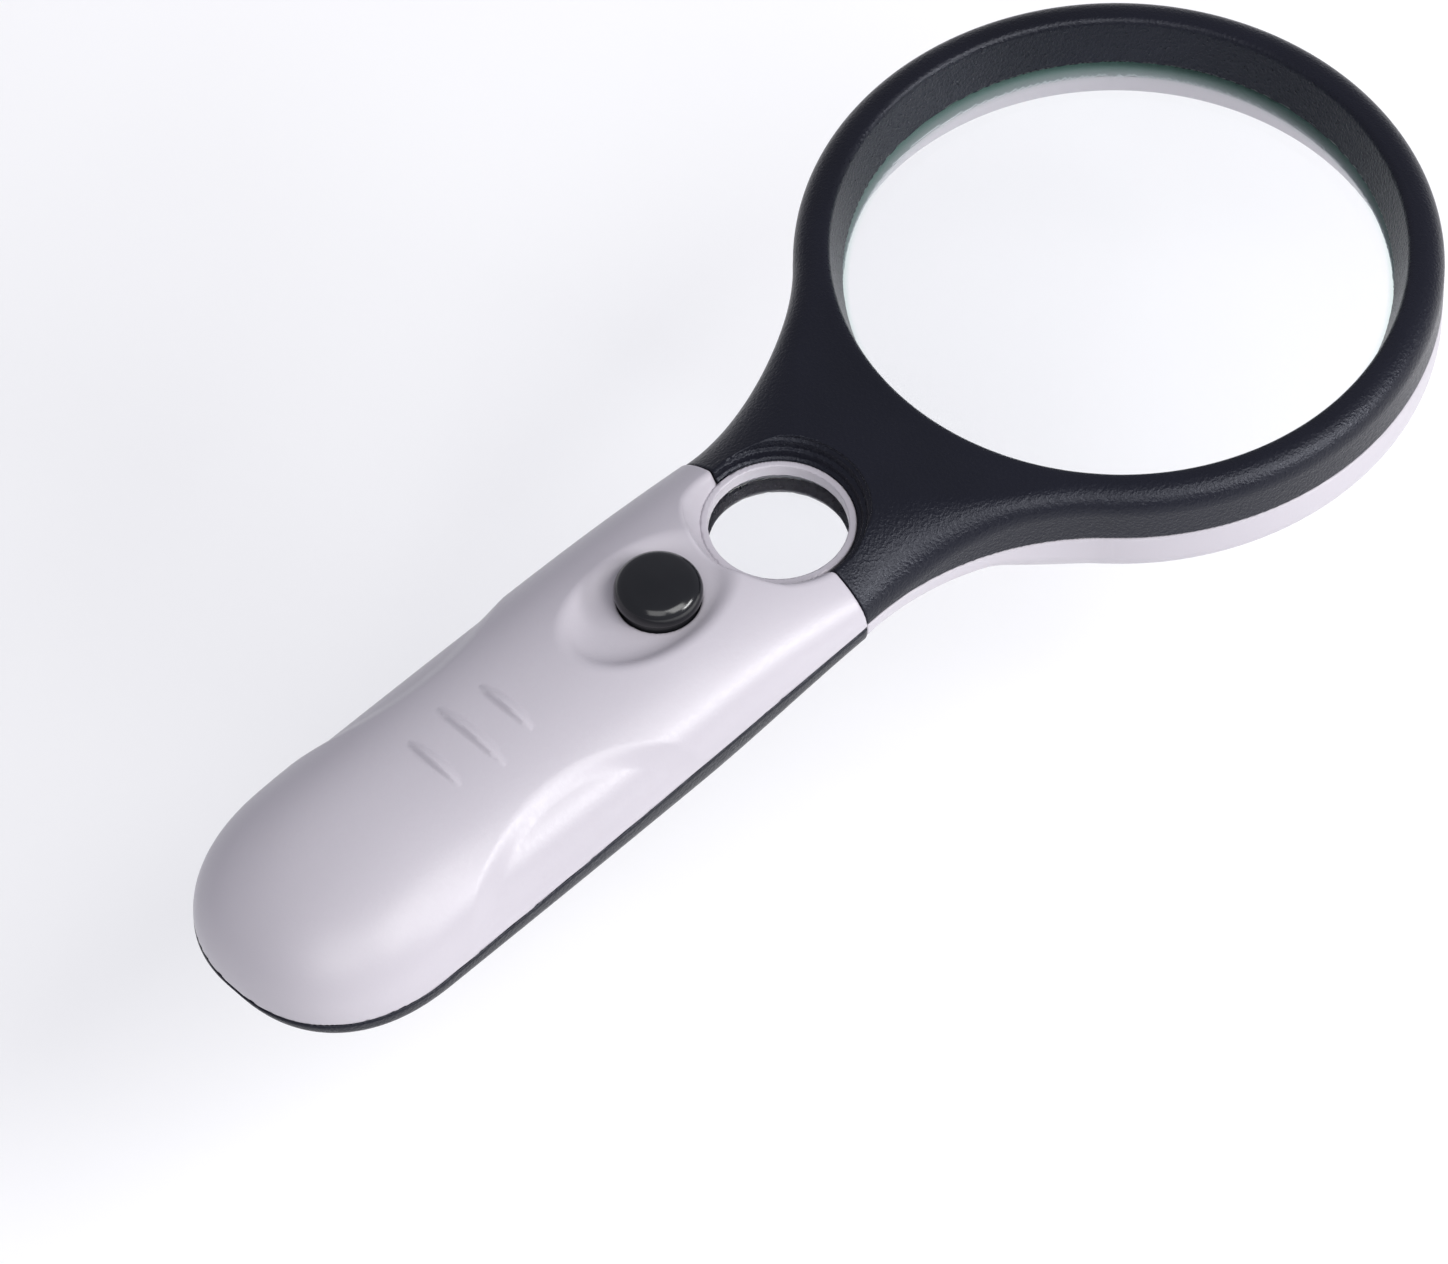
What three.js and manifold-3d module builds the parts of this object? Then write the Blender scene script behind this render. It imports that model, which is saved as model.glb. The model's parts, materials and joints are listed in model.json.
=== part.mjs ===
// Low vision magnifier: a lighted magnifying glass with a main lens, a small strong lens and a hollow handle.
// Millimetres. +X runs from the butt of the handle to the tip of the ring, +Y to the left and +Z up.
// The origin is under the middle of the object, on the surface that it lies on with its button upwards.
import * as THREE from "three";
import { mergeVertices } from "three/addons/utils/BufferGeometryUtils.js";
import Module from "manifold-3d";

const wasm = await Module();
wasm.setup();

// ---------- Driving dimensions ----------

const totalLength = 195;
const gap = 0.3; // between pieces that touch
const wall = 1.2; // handle shells
const coverWall = 1.6; // ring and neck covers

const ringRadius = 41.5;
const ringHeight = 15;
const ringRounding = 3.2; // rounded outer edges of the ring
const ringWallRadius = 39.3; // inside of the ring's outer wall, towards the hollow neck
const mouthRadius = 36.85; // opening at the ring's upper face
const rearMouthRadius = 37.4; // opening at its lower face
const lensWindow = 35.07; // opening at the main lens
const seamHeight = 7.2; // where the two ring covers meet

const ringX = totalLength / 2 - ringRadius;
const smallX = ringX - 60.5; // axis of the small lens
const jointX = smallX - 1; // where the handle shells meet the ring covers
const buttX = -totalLength / 2;
const handleLength = jointX - buttX;

const neckArcRadius = 38.6; // hollow side curves of the neck
const neckArcX = ringX - 58;
const neckArcY = Math.sqrt((ringRadius + neckArcRadius) ** 2 - (ringX - neckArcX) ** 2);
const neckMeetsRingX = ringX - (ringRadius * (ringX - neckArcX)) / (ringRadius + neckArcRadius);
const neckLift = 2.7; // underside of the neck above the ring's underside
const shoulderRun = 24; // length over which the neck's round shoulders flatten into the ring

const handleHalfWidth = 17.8;
const handleWidestX = ringX - 125;
const frontNarrowing = 0.8; // the handle is this much slimmer at the joint
const narrowingRun = 64;
const crownRise = 2.9; // the handle's top climbs this much just behind the joint
const crownRun = 24;
const seamDrop = 3.6; // the handle's side seam falls towards the butt
const topPower = 2.15; // roundness of the top shell's section
const bottomPower = 4; // boxier section of the bottom shell
const buttPower = 2.3;
const buttPlanRun = 20.3;
const buttTopRun = 31.5;
const buttBottomRun = 15.5;
const bottomLevelX = jointX - 29; // behind this the underside is level

const mainLensRadius = 37.4;
const mainLensEdge = 1.1;
const mainLensBulge = 3.7;
const mainLensZ = 7.15;
const lensSeatHalf = 1.3; // half height of the groove that holds the main lens
const smallLensRadius = 10.2;
const smallLensEdge = 1.5;
const smallLensBulge = 1.55;
const smallLensZ = 8.75;

const dishRadius = 11.7; // dish round the small lens
const dishPadRadius = dishRadius + 1.2;
const rimRadius = 9.8; // outside of the small lens's white rim
const rimWindow = 8.85;
const rimZ = 12.2;
const holderRadius = 11.6;
const holderTopZ = 11;
const lensSeatZ = 10;
const collarTopZ = 7.3;

const buttonX = smallX - 20.7;
const buttonRadius = 5.6; // widest, a little above the bowl's floor
const buttonWaist = 5.2;
const buttonFlange = 6.4;
const buttonTopZ = 19.7;
const buttonHole = buttonWaist + gap;
const bowlX = buttonX - 1.3; // thumb bowl round the button
const bowlFloorZ = 15.7;
const bowlLength = 25.8;
const bowlWidth = 16.8;
const bowlPadZ = 14.3;

const scallopX = ringX - 110.5; // finger scallop in each flank, part of an upright circle beside the handle
const scallopY = 42.4;
const scallopRadius = 31.9;
const scallopDepth = 0.6;
const ribStations = [
  { x: ringX - 107.2, length: 9.4 },
  { x: ringX - 113.2, length: 12.2 },
  { x: ringX - 119.4, length: 9.4 },
];

const cellRadius = 5.1; // AAA cell
const cellLength = 44.5;
const nubRadius = 1.9;
const nubLength = 0.8;
const cellPitch = 10.4;
const cellZ = 6.75;
const cellFrontX = buttonX - 10.1;
const cellRearX = cellFrontX - cellLength;
const bayFrontX = cellFrontX + 3;
const bayRearX = cellRearX - 3;
const bayWallTopZ = 10.6;
const contactThickness = 0.4;
const contactReach = 2;

const doorFrontX = bayFrontX - 1.5;
const doorRearX = bayRearX + 0.6;
const doorHalfWidth = 14.3;
const doorWall = 1.3;
const doorTabY = 5.25;

const screwHeadRadius = 2.2;
const screwHeadHeight = 1.3;
const screwShankRadius = 1;
const neckScrewX = smallX + 9;
const neckScrewY = 12.4;
const handleScrewX = jointX - 11.5;
const handleScrewY = 12.6;
const buttScrewX = buttX + 7;

const lampCircle = 45; // the lamps sit on this circle round the main lens
const lampSpread = THREE.MathUtils.degToRad(12.5);
const lampRadius = 1.5;
const lampTipZ = 2.3;
const lampBoardZ = 7.7;
const boardThickness = 1.2;
const boardZ = 3.6;
const boardRearX = buttonX - 5.5;
const boardFrontX = buttonX + 6.2;
const boardHalfWidth = 9;
const wireRadius = 0.5;

// ---------- Materials ----------

const finish = (color, roughness, metalness = 0) =>
  new THREE.MeshStandardMaterial({ color, roughness, metalness });
const blackPlastic = finish(0x15151a, 0.45);
const glossBlack = finish(0x08090b, 0.2);
const whitePlastic = finish(0xdedce6, 0.38);
const clearLens = finish(0xeaf4f0, 0.04);
clearLens.transparent = true;
clearLens.opacity = 0.35;
const lampResin = finish(0xf4f0d8, 0.12);
const boardGreen = finish(0x1f5a34, 0.5);
const steel = finish(0xa9adb2, 0.3, 1);
const springSteel = finish(0xc8c6bd, 0.28, 1);
const cellSleeve = finish(0x3c6ea8, 0.35);
const resistorBeige = finish(0xc9a878, 0.5);
const switchGrey = finish(0x3a3d42, 0.5);
const redWire = finish(0xb3201c, 0.45);
const blackWire = finish(0x111113, 0.45);

// ---------- Solids ----------

// A closed geometry as a solid that can be joined and cut. Faces that all point inwards are turned round.
function solid(geometry) {
  const bare = geometry.index ? geometry.toNonIndexed() : geometry.clone();
  bare.deleteAttribute("normal");
  bare.deleteAttribute("uv");
  const merged = mergeVertices(bare, 1e-4);
  const vertProperties = merged.attributes.position.array;
  const corners = [];
  for (let i = 0; i < merged.index.count; i += 3) {
    const [a, b, c] = [0, 1, 2].map((k) => merged.index.getX(i + k));
    if (a !== b && b !== c && c !== a) corners.push(a, b, c);
  }
  const facing = (triVerts) => {
    const mesh = new wasm.Mesh({ numProp: 3, vertProperties, triVerts });
    return new wasm.Manifold(mesh);
  };
  const made = facing(new Uint32Array(corners));
  return made.volume() < 0 ? facing(new Uint32Array(corners.toReversed())) : made;
}

const magnifier = new THREE.Group();

function piece(name, shape, material) {
  const mesh = shape.getMesh();
  const geometry = new THREE.BufferGeometry();
  geometry.setAttribute("position", new THREE.BufferAttribute(mesh.vertProperties, 3));
  geometry.setIndex(new THREE.BufferAttribute(mesh.triVerts, 1));
  geometry.computeVertexNormals();
  const part = new THREE.Mesh(geometry, material);
  part.name = name;
  magnifier.add(part);
}

const joined = (...shapes) => shapes.reduce((whole, next) => whole.add(next));
const without = (shape, ...cuts) => cuts.reduce((rest, cut) => rest.subtract(cut), shape);

function box(x0, x1, y0, y1, z0, z1) {
  const geometry = new THREE.BoxGeometry(x1 - x0, y1 - y0, z1 - z0);
  return solid(geometry.translate((x0 + x1) / 2, (y0 + y1) / 2, (z0 + z1) / 2));
}

// A solid of revolution about a vertical axis at x, y. The profile is a closed outline of radius and height.
function turned(x, y, profile, segments = 28) {
  const points = [...profile, profile[0]].map(([r, z]) => new THREE.Vector2(r, z));
  return solid(new THREE.LatheGeometry(points, segments).rotateX(Math.PI / 2).translate(x, y, 0));
}

// A plain upright cylinder.
function post(x, y, radius, z0, z1, segments = 16) {
  return turned(x, y, [[0, z0], [radius, z0], [radius, z1], [0, z1]], segments);
}

// A turned shape whose axis runs along X from x0, towards the butt where direction is -1.
function turnedAlongX(x0, y, z, profile, direction, segments = 24) {
  const points = [...profile, profile[0]].map(([r, h]) => new THREE.Vector2(r, h));
  const geometry = new THREE.LatheGeometry(points, segments).rotateZ((-direction * Math.PI) / 2);
  return solid(geometry.translate(x0, y, z));
}

// A slab whose side view is a polygon of x and z, as wide as the whole object.
function sidePrism(outline) {
  const shape = new THREE.Shape(outline.map(([x, z]) => new THREE.Vector2(x, z)));
  const width = 4 * ringRadius;
  const geometry = new THREE.ExtrudeGeometry(shape, { depth: width, bevelEnabled: false });
  return solid(geometry.rotateX(Math.PI / 2).translate(0, width / 2, 0));
}

// A closed skin through rings of points that all run the same way, with a fan at each end.
function loft(rings, frontTip, rearTip) {
  const points = [...rings.flat(), frontTip, rearTip];
  const count = rings[0].length;
  const corners = [];
  const front = points.length - 2;
  const rear = points.length - 1;
  const last = (rings.length - 1) * count;
  for (let k = 0; k < count; k += 1) {
    const next = (k + 1) % count;
    corners.push(front, next, k);
    corners.push(rear, last + k, last + next);
    for (let i = 0; i + 1 < rings.length; i += 1) {
      const here = i * count;
      const behind = here + count;
      corners.push(here + k, here + next, behind + next);
      corners.push(here + k, behind + next, behind + k);
    }
  }
  const geometry = new THREE.BufferGeometry().setFromPoints(points);
  geometry.setIndex(corners);
  return solid(geometry);
}

// A round wire along a smooth curve through hand-placed points.
function wire(points, steps) {
  const path = new THREE.CatmullRomCurve3(points.map((p) => new THREE.Vector3(...p)));
  const section = new THREE.Shape().absarc(0, 0, wireRadius, 0, 2 * Math.PI);
  const options = { steps, curveSegments: 3, extrudePath: path, bevelEnabled: false };
  return solid(new THREE.ExtrudeGeometry(section, options));
}

// ---------- Outline of the handle and neck ----------

const mix = (a, b, t) => a + (b - a) * t;
const clamp = (t) => Math.min(Math.max(t, 0), 1);
const smooth = (t) => clamp(t) ** 2 * (3 - 2 * clamp(t));

// 1 along the handle, falling to 0 at the butt over the given run, in a rounded curve.
function buttFade(x, run, inset) {
  const back = clamp(1 - (x - buttX - inset) / run);
  return (1 - back ** buttPower) ** (1 / buttPower);
}

const alongHandle = (x) => clamp((jointX - x) / handleLength);
const seamZ = (x) => seamHeight - seamDrop * alongHandle(x) ** 1.25;
const crownZ = (x) => ringHeight + crownRise * (1 - (1 - clamp((jointX - x) / crownRun)) ** 2);
const undersideZ = (x) => neckLift * (1 - smooth((jointX - x) / (jointX - bottomLevelX)));

function handleWidth(x, inset) {
  const narrowing = frontNarrowing * (Math.max(x - handleWidestX, 0) / narrowingRun) ** 2;
  return (handleHalfWidth - narrowing - inset) * buttFade(x, buttPlanRun, inset);
}

function neckWidth(x) {
  return neckArcY - Math.sqrt(neckArcRadius ** 2 - (x - neckArcX) ** 2);
}

const sectionSteps = 10;
const signedPower = (value, power) => Math.sign(value) * Math.abs(value) ** power;

// One cross-section: a top arch and a bottom arch on the seam. Each arch has a shoulder run and rise, a
// straight side under the shoulder, and a power that says how square it is.
function section(x, z, halfWidth, top, bottom, steps) {
  const ring = [];
  for (const [arch, side] of [[top, 1], [bottom, -1]]) {
    for (let i = 0; i < steps; i += 1) {
      const angle = (Math.PI * i) / steps;
      const across = signedPower(Math.cos(angle), 2 / arch.power);
      const up = Math.abs(Math.sin(angle)) ** (2 / arch.power);
      const flat = (halfWidth - arch.run) * Math.sign(Math.round(across * 1e6));
      const straight = i === 0 ? 0 : arch.straight;
      const y = side * (flat + arch.run * across);
      ring.push(new THREE.Vector3(x, y, z + side * (straight + arch.rise * up)));
    }
  }
  return ring;
}

function handleSection(x, inset) {
  const z = seamZ(x);
  const halfWidth = handleWidth(x, inset);
  const rise = (crownZ(x) - z - inset) * buttFade(x, buttTopRun, inset);
  const depth = (z - undersideZ(x) - inset) * buttFade(x, buttBottomRun, inset);
  const top = { run: halfWidth, rise, straight: 0, power: topPower };
  const bottom = { run: halfWidth, rise: depth, straight: 0, power: bottomPower };
  return section(x, z, halfWidth, top, bottom, sectionSteps);
}

// The handle's outer body, or with an inset the same body shrunk on every side but its open front.
function handleBody(inset) {
  const stations = [];
  const levelSteps = 7;
  const roundSteps = 5;
  const roundStartX = buttX + buttPlanRun;
  const startX = jointX + (inset > 0 ? 1 : 0);
  for (let i = 0; i < levelSteps; i += 1) stations.push(mix(startX, roundStartX, i / levelSteps));
  for (let i = roundSteps; i > 0; i -= 1) {
    const back = 1 - Math.cos((i * Math.PI) / 2 / roundSteps);
    stations.push(buttX + inset + (buttPlanRun - inset) * back);
  }
  const rings = stations.map((x) => handleSection(x, inset));
  const tip = new THREE.Vector3(buttX + inset, 0, seamZ(buttX));
  return loft(rings, new THREE.Vector3(startX, 0, seamHeight), tip);
}

// The neck's body. Its section matches the handle at the joint and the ring's rounded edge at the far end,
// where it meets the ring at a slant.
function neckBody(inset, startX) {
  const rings = [];
  const stationCount = 6;
  const endX = neckMeetsRingX;
  for (let i = stationCount; i >= 0; i -= 1) {
    const x = mix(startX, endX, i / stationCount);
    const flatten = smooth((x - jointX) / shoulderRun);
    const halfWidth = neckWidth(x) - inset;
    const rise = ringHeight - seamHeight - inset;
    const depth = seamHeight - neckLift - inset;
    const slant = Math.sqrt(1 - ((x - neckArcX) / neckArcRadius) ** 2);
    const run = mix(halfWidth, ringRounding / slant, flatten);
    const topRise = mix(rise, ringRounding, flatten);
    const bottomRise = mix(depth, Math.min(ringRounding, depth), flatten);
    const top = { run, rise: topRise, straight: rise - topRise, power: mix(topPower, 2, flatten) };
    const bottomShape = { run, rise: bottomRise, straight: depth - bottomRise };
    bottomShape.power = mix(bottomPower, 2, flatten);
    rings.push(section(x, seamHeight, halfWidth, top, bottomShape, sectionSteps));
  }
  return loft(rings, new THREE.Vector3(endX, 0, seamHeight), new THREE.Vector3(startX, 0, seamHeight));
}

// ---------- Shared cutting shapes ----------

const far = 200;
const aboveAll = 30;

// Everything above the handle's side seam. The seam line is raised by the given amount.
function aboveSeam(lift) {
  const line = [];
  const steps = 8;
  for (let i = 0; i <= steps; i += 1) {
    const x = mix(jointX, buttX, i / steps);
    line.push([x, seamZ(x) + lift]);
  }
  const frontZ = seamHeight + lift;
  const rearZ = seamZ(buttX) + lift;
  return sidePrism([[far, frontZ], [far, far], [-far, far], [-far, rearZ], ...line.reverse()]);
}

function belowSeam(lift) {
  return without(box(-far, far, -far, far, -far, far), aboveSeam(lift));
}

const outerHandle = handleBody(0);
const innerHandle = handleBody(wall);
const looseFit = handleBody(wall + gap);
const fusedFit = handleBody(wall / 2);
const aboveSplit = aboveSeam(gap / 2);
const belowSplit = belowSeam(-gap / 2);

// The dish round the small lens, from the top face down to its white rim. It is stepped in the ring cover and
// smooth in the handle.
const dishFloorZ = rimZ - 0.2;
const dishSteps = [
  [dishRadius, 14.6],
  [11.3, 14.2],
  [11.1, 13.3],
  [10.6, 13.1],
  [10.4, 12.3],
  [10.1, dishFloorZ],
];
const dishSlope = [
  [dishRadius, 15],
  [10.9, 13.6],
  [9.9, dishFloorZ],
];

function dish(steps) {
  const profile = [[0, dishFloorZ], ...steps.toReversed(), [dishRadius, aboveAll], [0, aboveAll]];
  return turned(smallX, 0, profile, 36);
}

// ---------- Ring covers ----------

function roundedCorner(centreR, centreZ, radius, fromAngle, steps = 3) {
  const corner = [];
  for (let i = 0; i <= steps; i += 1) {
    const angle = fromAngle + (i * Math.PI) / 2 / steps;
    corner.push([centreR + radius * Math.cos(angle), centreZ + radius * Math.sin(angle)]);
  }
  return corner;
}

const ringCorner = ringRadius - ringRounding;
const ringProfile = [
  [0, 0],
  ...roundedCorner(ringCorner, ringRounding, ringRounding, -Math.PI / 2),
  ...roundedCorner(ringCorner, ringHeight - ringRounding, ringRounding, 0),
  [0, ringHeight],
];
const ringSegments = 44;
const ringBlank = joined(turned(ringX, 0, ringProfile, ringSegments), neckBody(0, jointX + gap));

const grooveRadius = mainLensRadius + gap;
const lensOpening = turned(
  ringX,
  0,
  [
    [0, -1],
    [rearMouthRadius, -1],
    [rearMouthRadius, 0],
    [lensWindow, mainLensZ - lensSeatHalf],
    [grooveRadius, mainLensZ - lensSeatHalf],
    [grooveRadius, mainLensZ + lensSeatHalf],
    [lensWindow, mainLensZ + lensSeatHalf],
    [mouthRadius, ringHeight],
    [mouthRadius, ringHeight + 1],
    [0, ringHeight + 1],
  ],
  ringSegments,
);
const neckHollow = without(
  neckBody(coverWall, jointX - 1),
  post(ringX, 0, ringWallRadius, -1, ringHeight + 1, ringSegments),
);
const sides = [1, -1];
const sideName = (side) => (side > 0 ? "left" : "right");
const pilotRadius = 1.3; // clearance round a screw's shank
const wellRadius = screwHeadRadius + gap; // room for a screw's head
const neckBossRadius = 2.3;
const neckWellZ = 4.5;
const boardPostRadius = 1.1;

const neckPosts = (radius, z0, z1) =>
  sides.map((side) => post(neckScrewX, side * neckScrewY, radius, z0, z1, 14));

function frontRingCover() {
  const pad = post(smallX, 0, dishPadRadius, holderTopZ + gap, ringHeight, 32);
  const bosses = neckPosts(neckBossRadius, 0, ringHeight);
  const pilots = neckPosts(pilotRadius, 0, 12.4);
  const hollow = without(neckHollow, pad, ...bosses);
  const shell = without(ringBlank, lensOpening, hollow).intersect(aboveSplit);
  const holderRoom = post(smallX, 0, holderRadius + gap, 0, holderTopZ + gap, 30);
  const rimRoom = post(smallX, 0, rimRadius + gap, 0, ringHeight, 30);
  return without(shell, dish(dishSteps), holderRoom, rimRoom, ...pilots);
}

// A place on the lamps' circle, so many lamp spacings to the side of the handle's axis.
function lampPlace(spacings) {
  const angle = Math.PI + spacings * lampSpread;
  return [ringX + lampCircle * Math.cos(angle), lampCircle * Math.sin(angle)];
}

const lampPlaces = [1, 0, -1].map(lampPlace);

function rearRingCover() {
  const screwPosts = neckPosts(wellRadius + 0.7, 0, neckWellZ + 0.7);
  const headWells = neckPosts(wellRadius, -1, neckWellZ);
  const shankHoles = neckPosts(pilotRadius, -1, neckWellZ + 1.5);
  const lampHoles = lampPlaces.map(([x, y]) => post(x, y, lampRadius + gap, -1, 6, 16));
  const boardPosts = [0.5, -0.5].map((spacings) => {
    const [x, y] = lampPlace(spacings);
    return post(x, y, boardPostRadius, neckLift + wall / 2, lampBoardZ - gap, 8);
  });
  const lip = post(smallX, 0, holderRadius + gap + 1, 0, neckWellZ + 0.7, 30);
  const shell = without(ringBlank, lensOpening, without(neckHollow, ...screwPosts, lip));
  const fitted = joined(shell.intersect(belowSplit), ...boardPosts);
  const collarRoom = post(smallX, 0, holderRadius + gap, -1, ringHeight, 30);
  return without(fitted, collarRoom, ...headWells, ...shankHoles, ...lampHoles);
}

piece("front_ring_cover", frontRingCover(), blackPlastic);
piece("rear_ring_cover", rearRingCover(), whitePlastic);

// ---------- Lenses ----------

// A biconvex lens with a cylindrical edge.
function lens(x, z, radius, edge, bulge, segments, steps) {
  const curve = (radius ** 2 + bulge ** 2) / (2 * bulge);
  const face = [];
  for (let i = 0; i <= steps; i += 1) {
    const r = (radius * i) / steps;
    face.push([r, edge / 2 + Math.sqrt(curve ** 2 - r ** 2) - (curve - bulge)]);
  }
  const lower = face.map(([r, h]) => [r, z - h]);
  const upper = face.toReversed().map(([r, h]) => [r, z + h]);
  return turned(x, 0, [...lower, ...upper], segments);
}

const mainLens = lens(ringX, mainLensZ, mainLensRadius, mainLensEdge, mainLensBulge, 36, 4);
const smallLens = lens(smallX, smallLensZ, smallLensRadius, smallLensEdge, smallLensBulge, 24, 3);
piece("main_lens", mainLens, clearLens);
piece("small_lens", smallLens, clearLens);

// ---------- Handle top shell ----------

// A shape turned about a vertical axis and narrowed to the bowl's oval.
function oval(profile, segments) {
  const points = [...profile, profile[0]].map(([r, z]) => new THREE.Vector2(r, z));
  const turnedShape = new THREE.LatheGeometry(points, segments).rotateX(Math.PI / 2);
  return solid(turnedShape.scale(1, bowlWidth / bowlLength, 1).translate(bowlX, 0, 0));
}

function bowlCut() {
  const half = bowlLength / 2;
  const wallSteps = [
    [half - 4, bowlFloorZ],
    [half - 2, bowlFloorZ + 0.4],
    [half - 0.8, bowlFloorZ + 1.1],
    [half, bowlFloorZ + 2],
    [half + 0.6, bowlFloorZ + 3],
  ];
  return oval([[0, bowlFloorZ], ...wallSteps, [half + 0.6, aboveAll], [0, aboveAll]], 36);
}

function bowlPad() {
  const reach = bowlLength / 2 + 1.6;
  const topZ = bowlPadZ + 4;
  return oval([[0, bowlPadZ], [reach, bowlPadZ], [reach, topZ], [0, topZ]], 36);
}

// The cylinder beside the handle, less the body that stays under the scallop.
function flankScallop(side) {
  const circle = post(scallopX, side * scallopY, scallopRadius, seamHeight, aboveAll, 48);
  return without(circle, handleBody(scallopDepth));
}

function rib({ x, length }) {
  const [halfWidth, height] = [0.75, 0.9];
  const ridge = new THREE.SphereGeometry(1, 12, 8).scale(halfWidth, length / 2, height);
  return solid(ridge.translate(x, 0, crownZ(x) - height / 2));
}

function smallLensHolder() {
  const profile = [
    [rimWindow, rimZ - 1.9],
    [rimWindow + 0.7, lensSeatZ],
    [smallLensRadius + gap, lensSeatZ],
    [smallLensRadius + gap, collarTopZ + gap],
    [holderRadius, collarTopZ + gap],
    [holderRadius, holderTopZ],
    [rimRadius, holderTopZ],
    [rimRadius, rimZ],
    [rimWindow, rimZ],
  ];
  return turned(smallX, 0, profile, 30);
}

const handlePilotZ = 11.8;
const buttPilotZ = 10.4;

function handleTopShell() {
  const behindJoint = box(-far, jointX, -far, far, -far, far);
  const dishPad = post(smallX, 0, dishPadRadius, holderTopZ - gap, aboveAll, 32).intersect(behindJoint);
  const screwPlaces = [
    [handleScrewX, handleScrewY, handlePilotZ],
    [handleScrewX, -handleScrewY, handlePilotZ],
    [buttScrewX, 0, buttPilotZ],
  ];
  const bosses = screwPlaces.map(([x, y]) => post(x, y, 2.7, 0, aboveAll, 12));
  const pilots = screwPlaces.map(([x, y, z]) => post(x, y, pilotRadius, 0, z, 8));
  const hollow = without(innerHandle, dishPad, bowlPad(), ...bosses);
  const lensRoom = post(smallX, 0, rimRadius - gap, 0, aboveAll, 30);
  const buttonRoom = post(buttonX, 0, buttonHole, 0, aboveAll, 32);
  const scallops = sides.map(flankScallop);
  const dished = without(outerHandle, hollow, dish(dishSlope), bowlCut(), ...scallops);
  const shaped = without(dished, lensRoom, buttonRoom, ...pilots);
  const ribbed = joined(shaped, ...ribStations.map(rib));
  return ribbed.intersect(aboveSplit).add(smallLensHolder());
}

piece("handle_top_shell", handleTopShell(), whitePlastic);

// ---------- Handle bottom shell and battery door ----------

const doorRoomZ = 2.6;
const bayFloorZ = 0.8;

function bayWall(x0, x1) {
  const slab = box(x0, x1, -handleHalfWidth, handleHalfWidth, bayFloorZ, bayWallTopZ);
  return joined(slab.intersect(looseFit), slab.intersect(fusedFit).intersect(belowSplit));
}

// The flange under the small lens. Only the handle's half of it has a wall down to the underside.
function smallLensCollar() {
  const flangeZ = collarTopZ - 1;
  const tubeRadius = holderRadius - 0.8;
  const flange = [
    [rimWindow, collarTopZ],
    [rimWindow + 0.4, flangeZ],
    [holderRadius, flangeZ],
    [holderRadius, collarTopZ],
  ];
  const tube = [
    [tubeRadius, neckLift],
    [holderRadius, neckLift],
    [holderRadius, flangeZ + 0.2],
    [tubeRadius, flangeZ + 0.2],
  ];
  const behindJoint = box(-far, jointX, -far, far, -far, far);
  return joined(turned(smallX, 0, flange, 30), turned(smallX, 0, tube, 30).intersect(behindJoint));
}

// Ears that reach into the neck, where the ring covers' screws clamp them.
const earZ = neckWellZ + 1;
const earThickness = 1.3;

function neckEar(side) {
  const [lowY, highY] = [side * 11.95, side * 13.6].sort((a, b) => a - b);
  const bar = box(handleScrewX, neckScrewX, lowY, highY, earZ, earZ + earThickness);
  return joined(bar, post(neckScrewX, side * neckScrewY, 1.9, earZ, earZ + earThickness, 8));
}

const handleWellZ = 4.2;
const buttWellZ = 2.6;
const tubeWall = 0.5;
const tubeReach = 2.4; // how far a screw tube rises over its head well
const tabHalf = 2; // half width of the windows for the door's tabs
const catchHalf = 3;

function handleBottomShell() {
  const walls = [bayWall(bayFrontX, bayFrontX + wall), bayWall(bayRearX - wall, bayRearX)];
  const tubeRadius = wellRadius + tubeWall;
  const tubes = sides.map((side) =>
    post(handleScrewX, side * handleScrewY, tubeRadius, 0, handleWellZ + tubeReach, 14),
  );
  tubes.push(post(buttScrewX, 0, tubeRadius, 0, buttWellZ + 1, 14));
  const skin = without(outerHandle, without(innerHandle, ...tubes)).intersect(belowSplit);
  const boardPosts = [];
  for (const x of [boardRearX + 1.2, boardFrontX - 1]) {
    const footZ = undersideZ(x) + bayFloorZ;
    for (const side of sides) boardPosts.push(post(x, side * 7.5, boardPostRadius, footZ, boardZ - gap, 8));
  }
  const body = joined(skin, ...walls, ...boardPosts, ...sides.map(neckEar));
  const cuts = [post(smallX, 0, holderRadius - gap, -1, aboveAll, 30)];
  for (const side of sides) {
    const [screwY, tabY] = [side * handleScrewY, side * doorTabY];
    cuts.push(post(handleScrewX, screwY, wellRadius, -1, handleWellZ, 14));
    cuts.push(post(handleScrewX, screwY, pilotRadius, -1, handleWellZ + 4, 8));
    cuts.push(post(neckScrewX, side * neckScrewY, pilotRadius, earZ - 1, earZ + 2, 8));
    cuts.push(box(bayFrontX - 0.2, bayFrontX + wall + 0.2, tabY - tabHalf, tabY + tabHalf, wall, 3.4));
  }
  cuts.push(post(buttScrewX, 0, wellRadius, -1, buttWellZ, 14));
  cuts.push(post(buttScrewX, 0, pilotRadius, -1, buttWellZ + 4, 8));
  const catchWindow = catchHalf + 0.4;
  cuts.push(box(bayRearX - wall - 0.2, bayRearX + 0.2, -catchWindow, catchWindow, wall, 3.2));
  const doorRoomY = doorHalfWidth + gap;
  cuts.push(box(doorRearX - gap, doorFrontX + gap, -doorRoomY, doorRoomY, -1, doorRoomZ));
  const nailScoop = new THREE.CylinderGeometry(3, 3, 8, 24).translate(doorRearX - 1.6, 0, -2.2);
  cuts.push(solid(nailScoop));
  return without(body, ...cuts).add(smallLensCollar());
}

piece("handle_bottom_shell", handleBottomShell(), blackPlastic);

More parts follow.
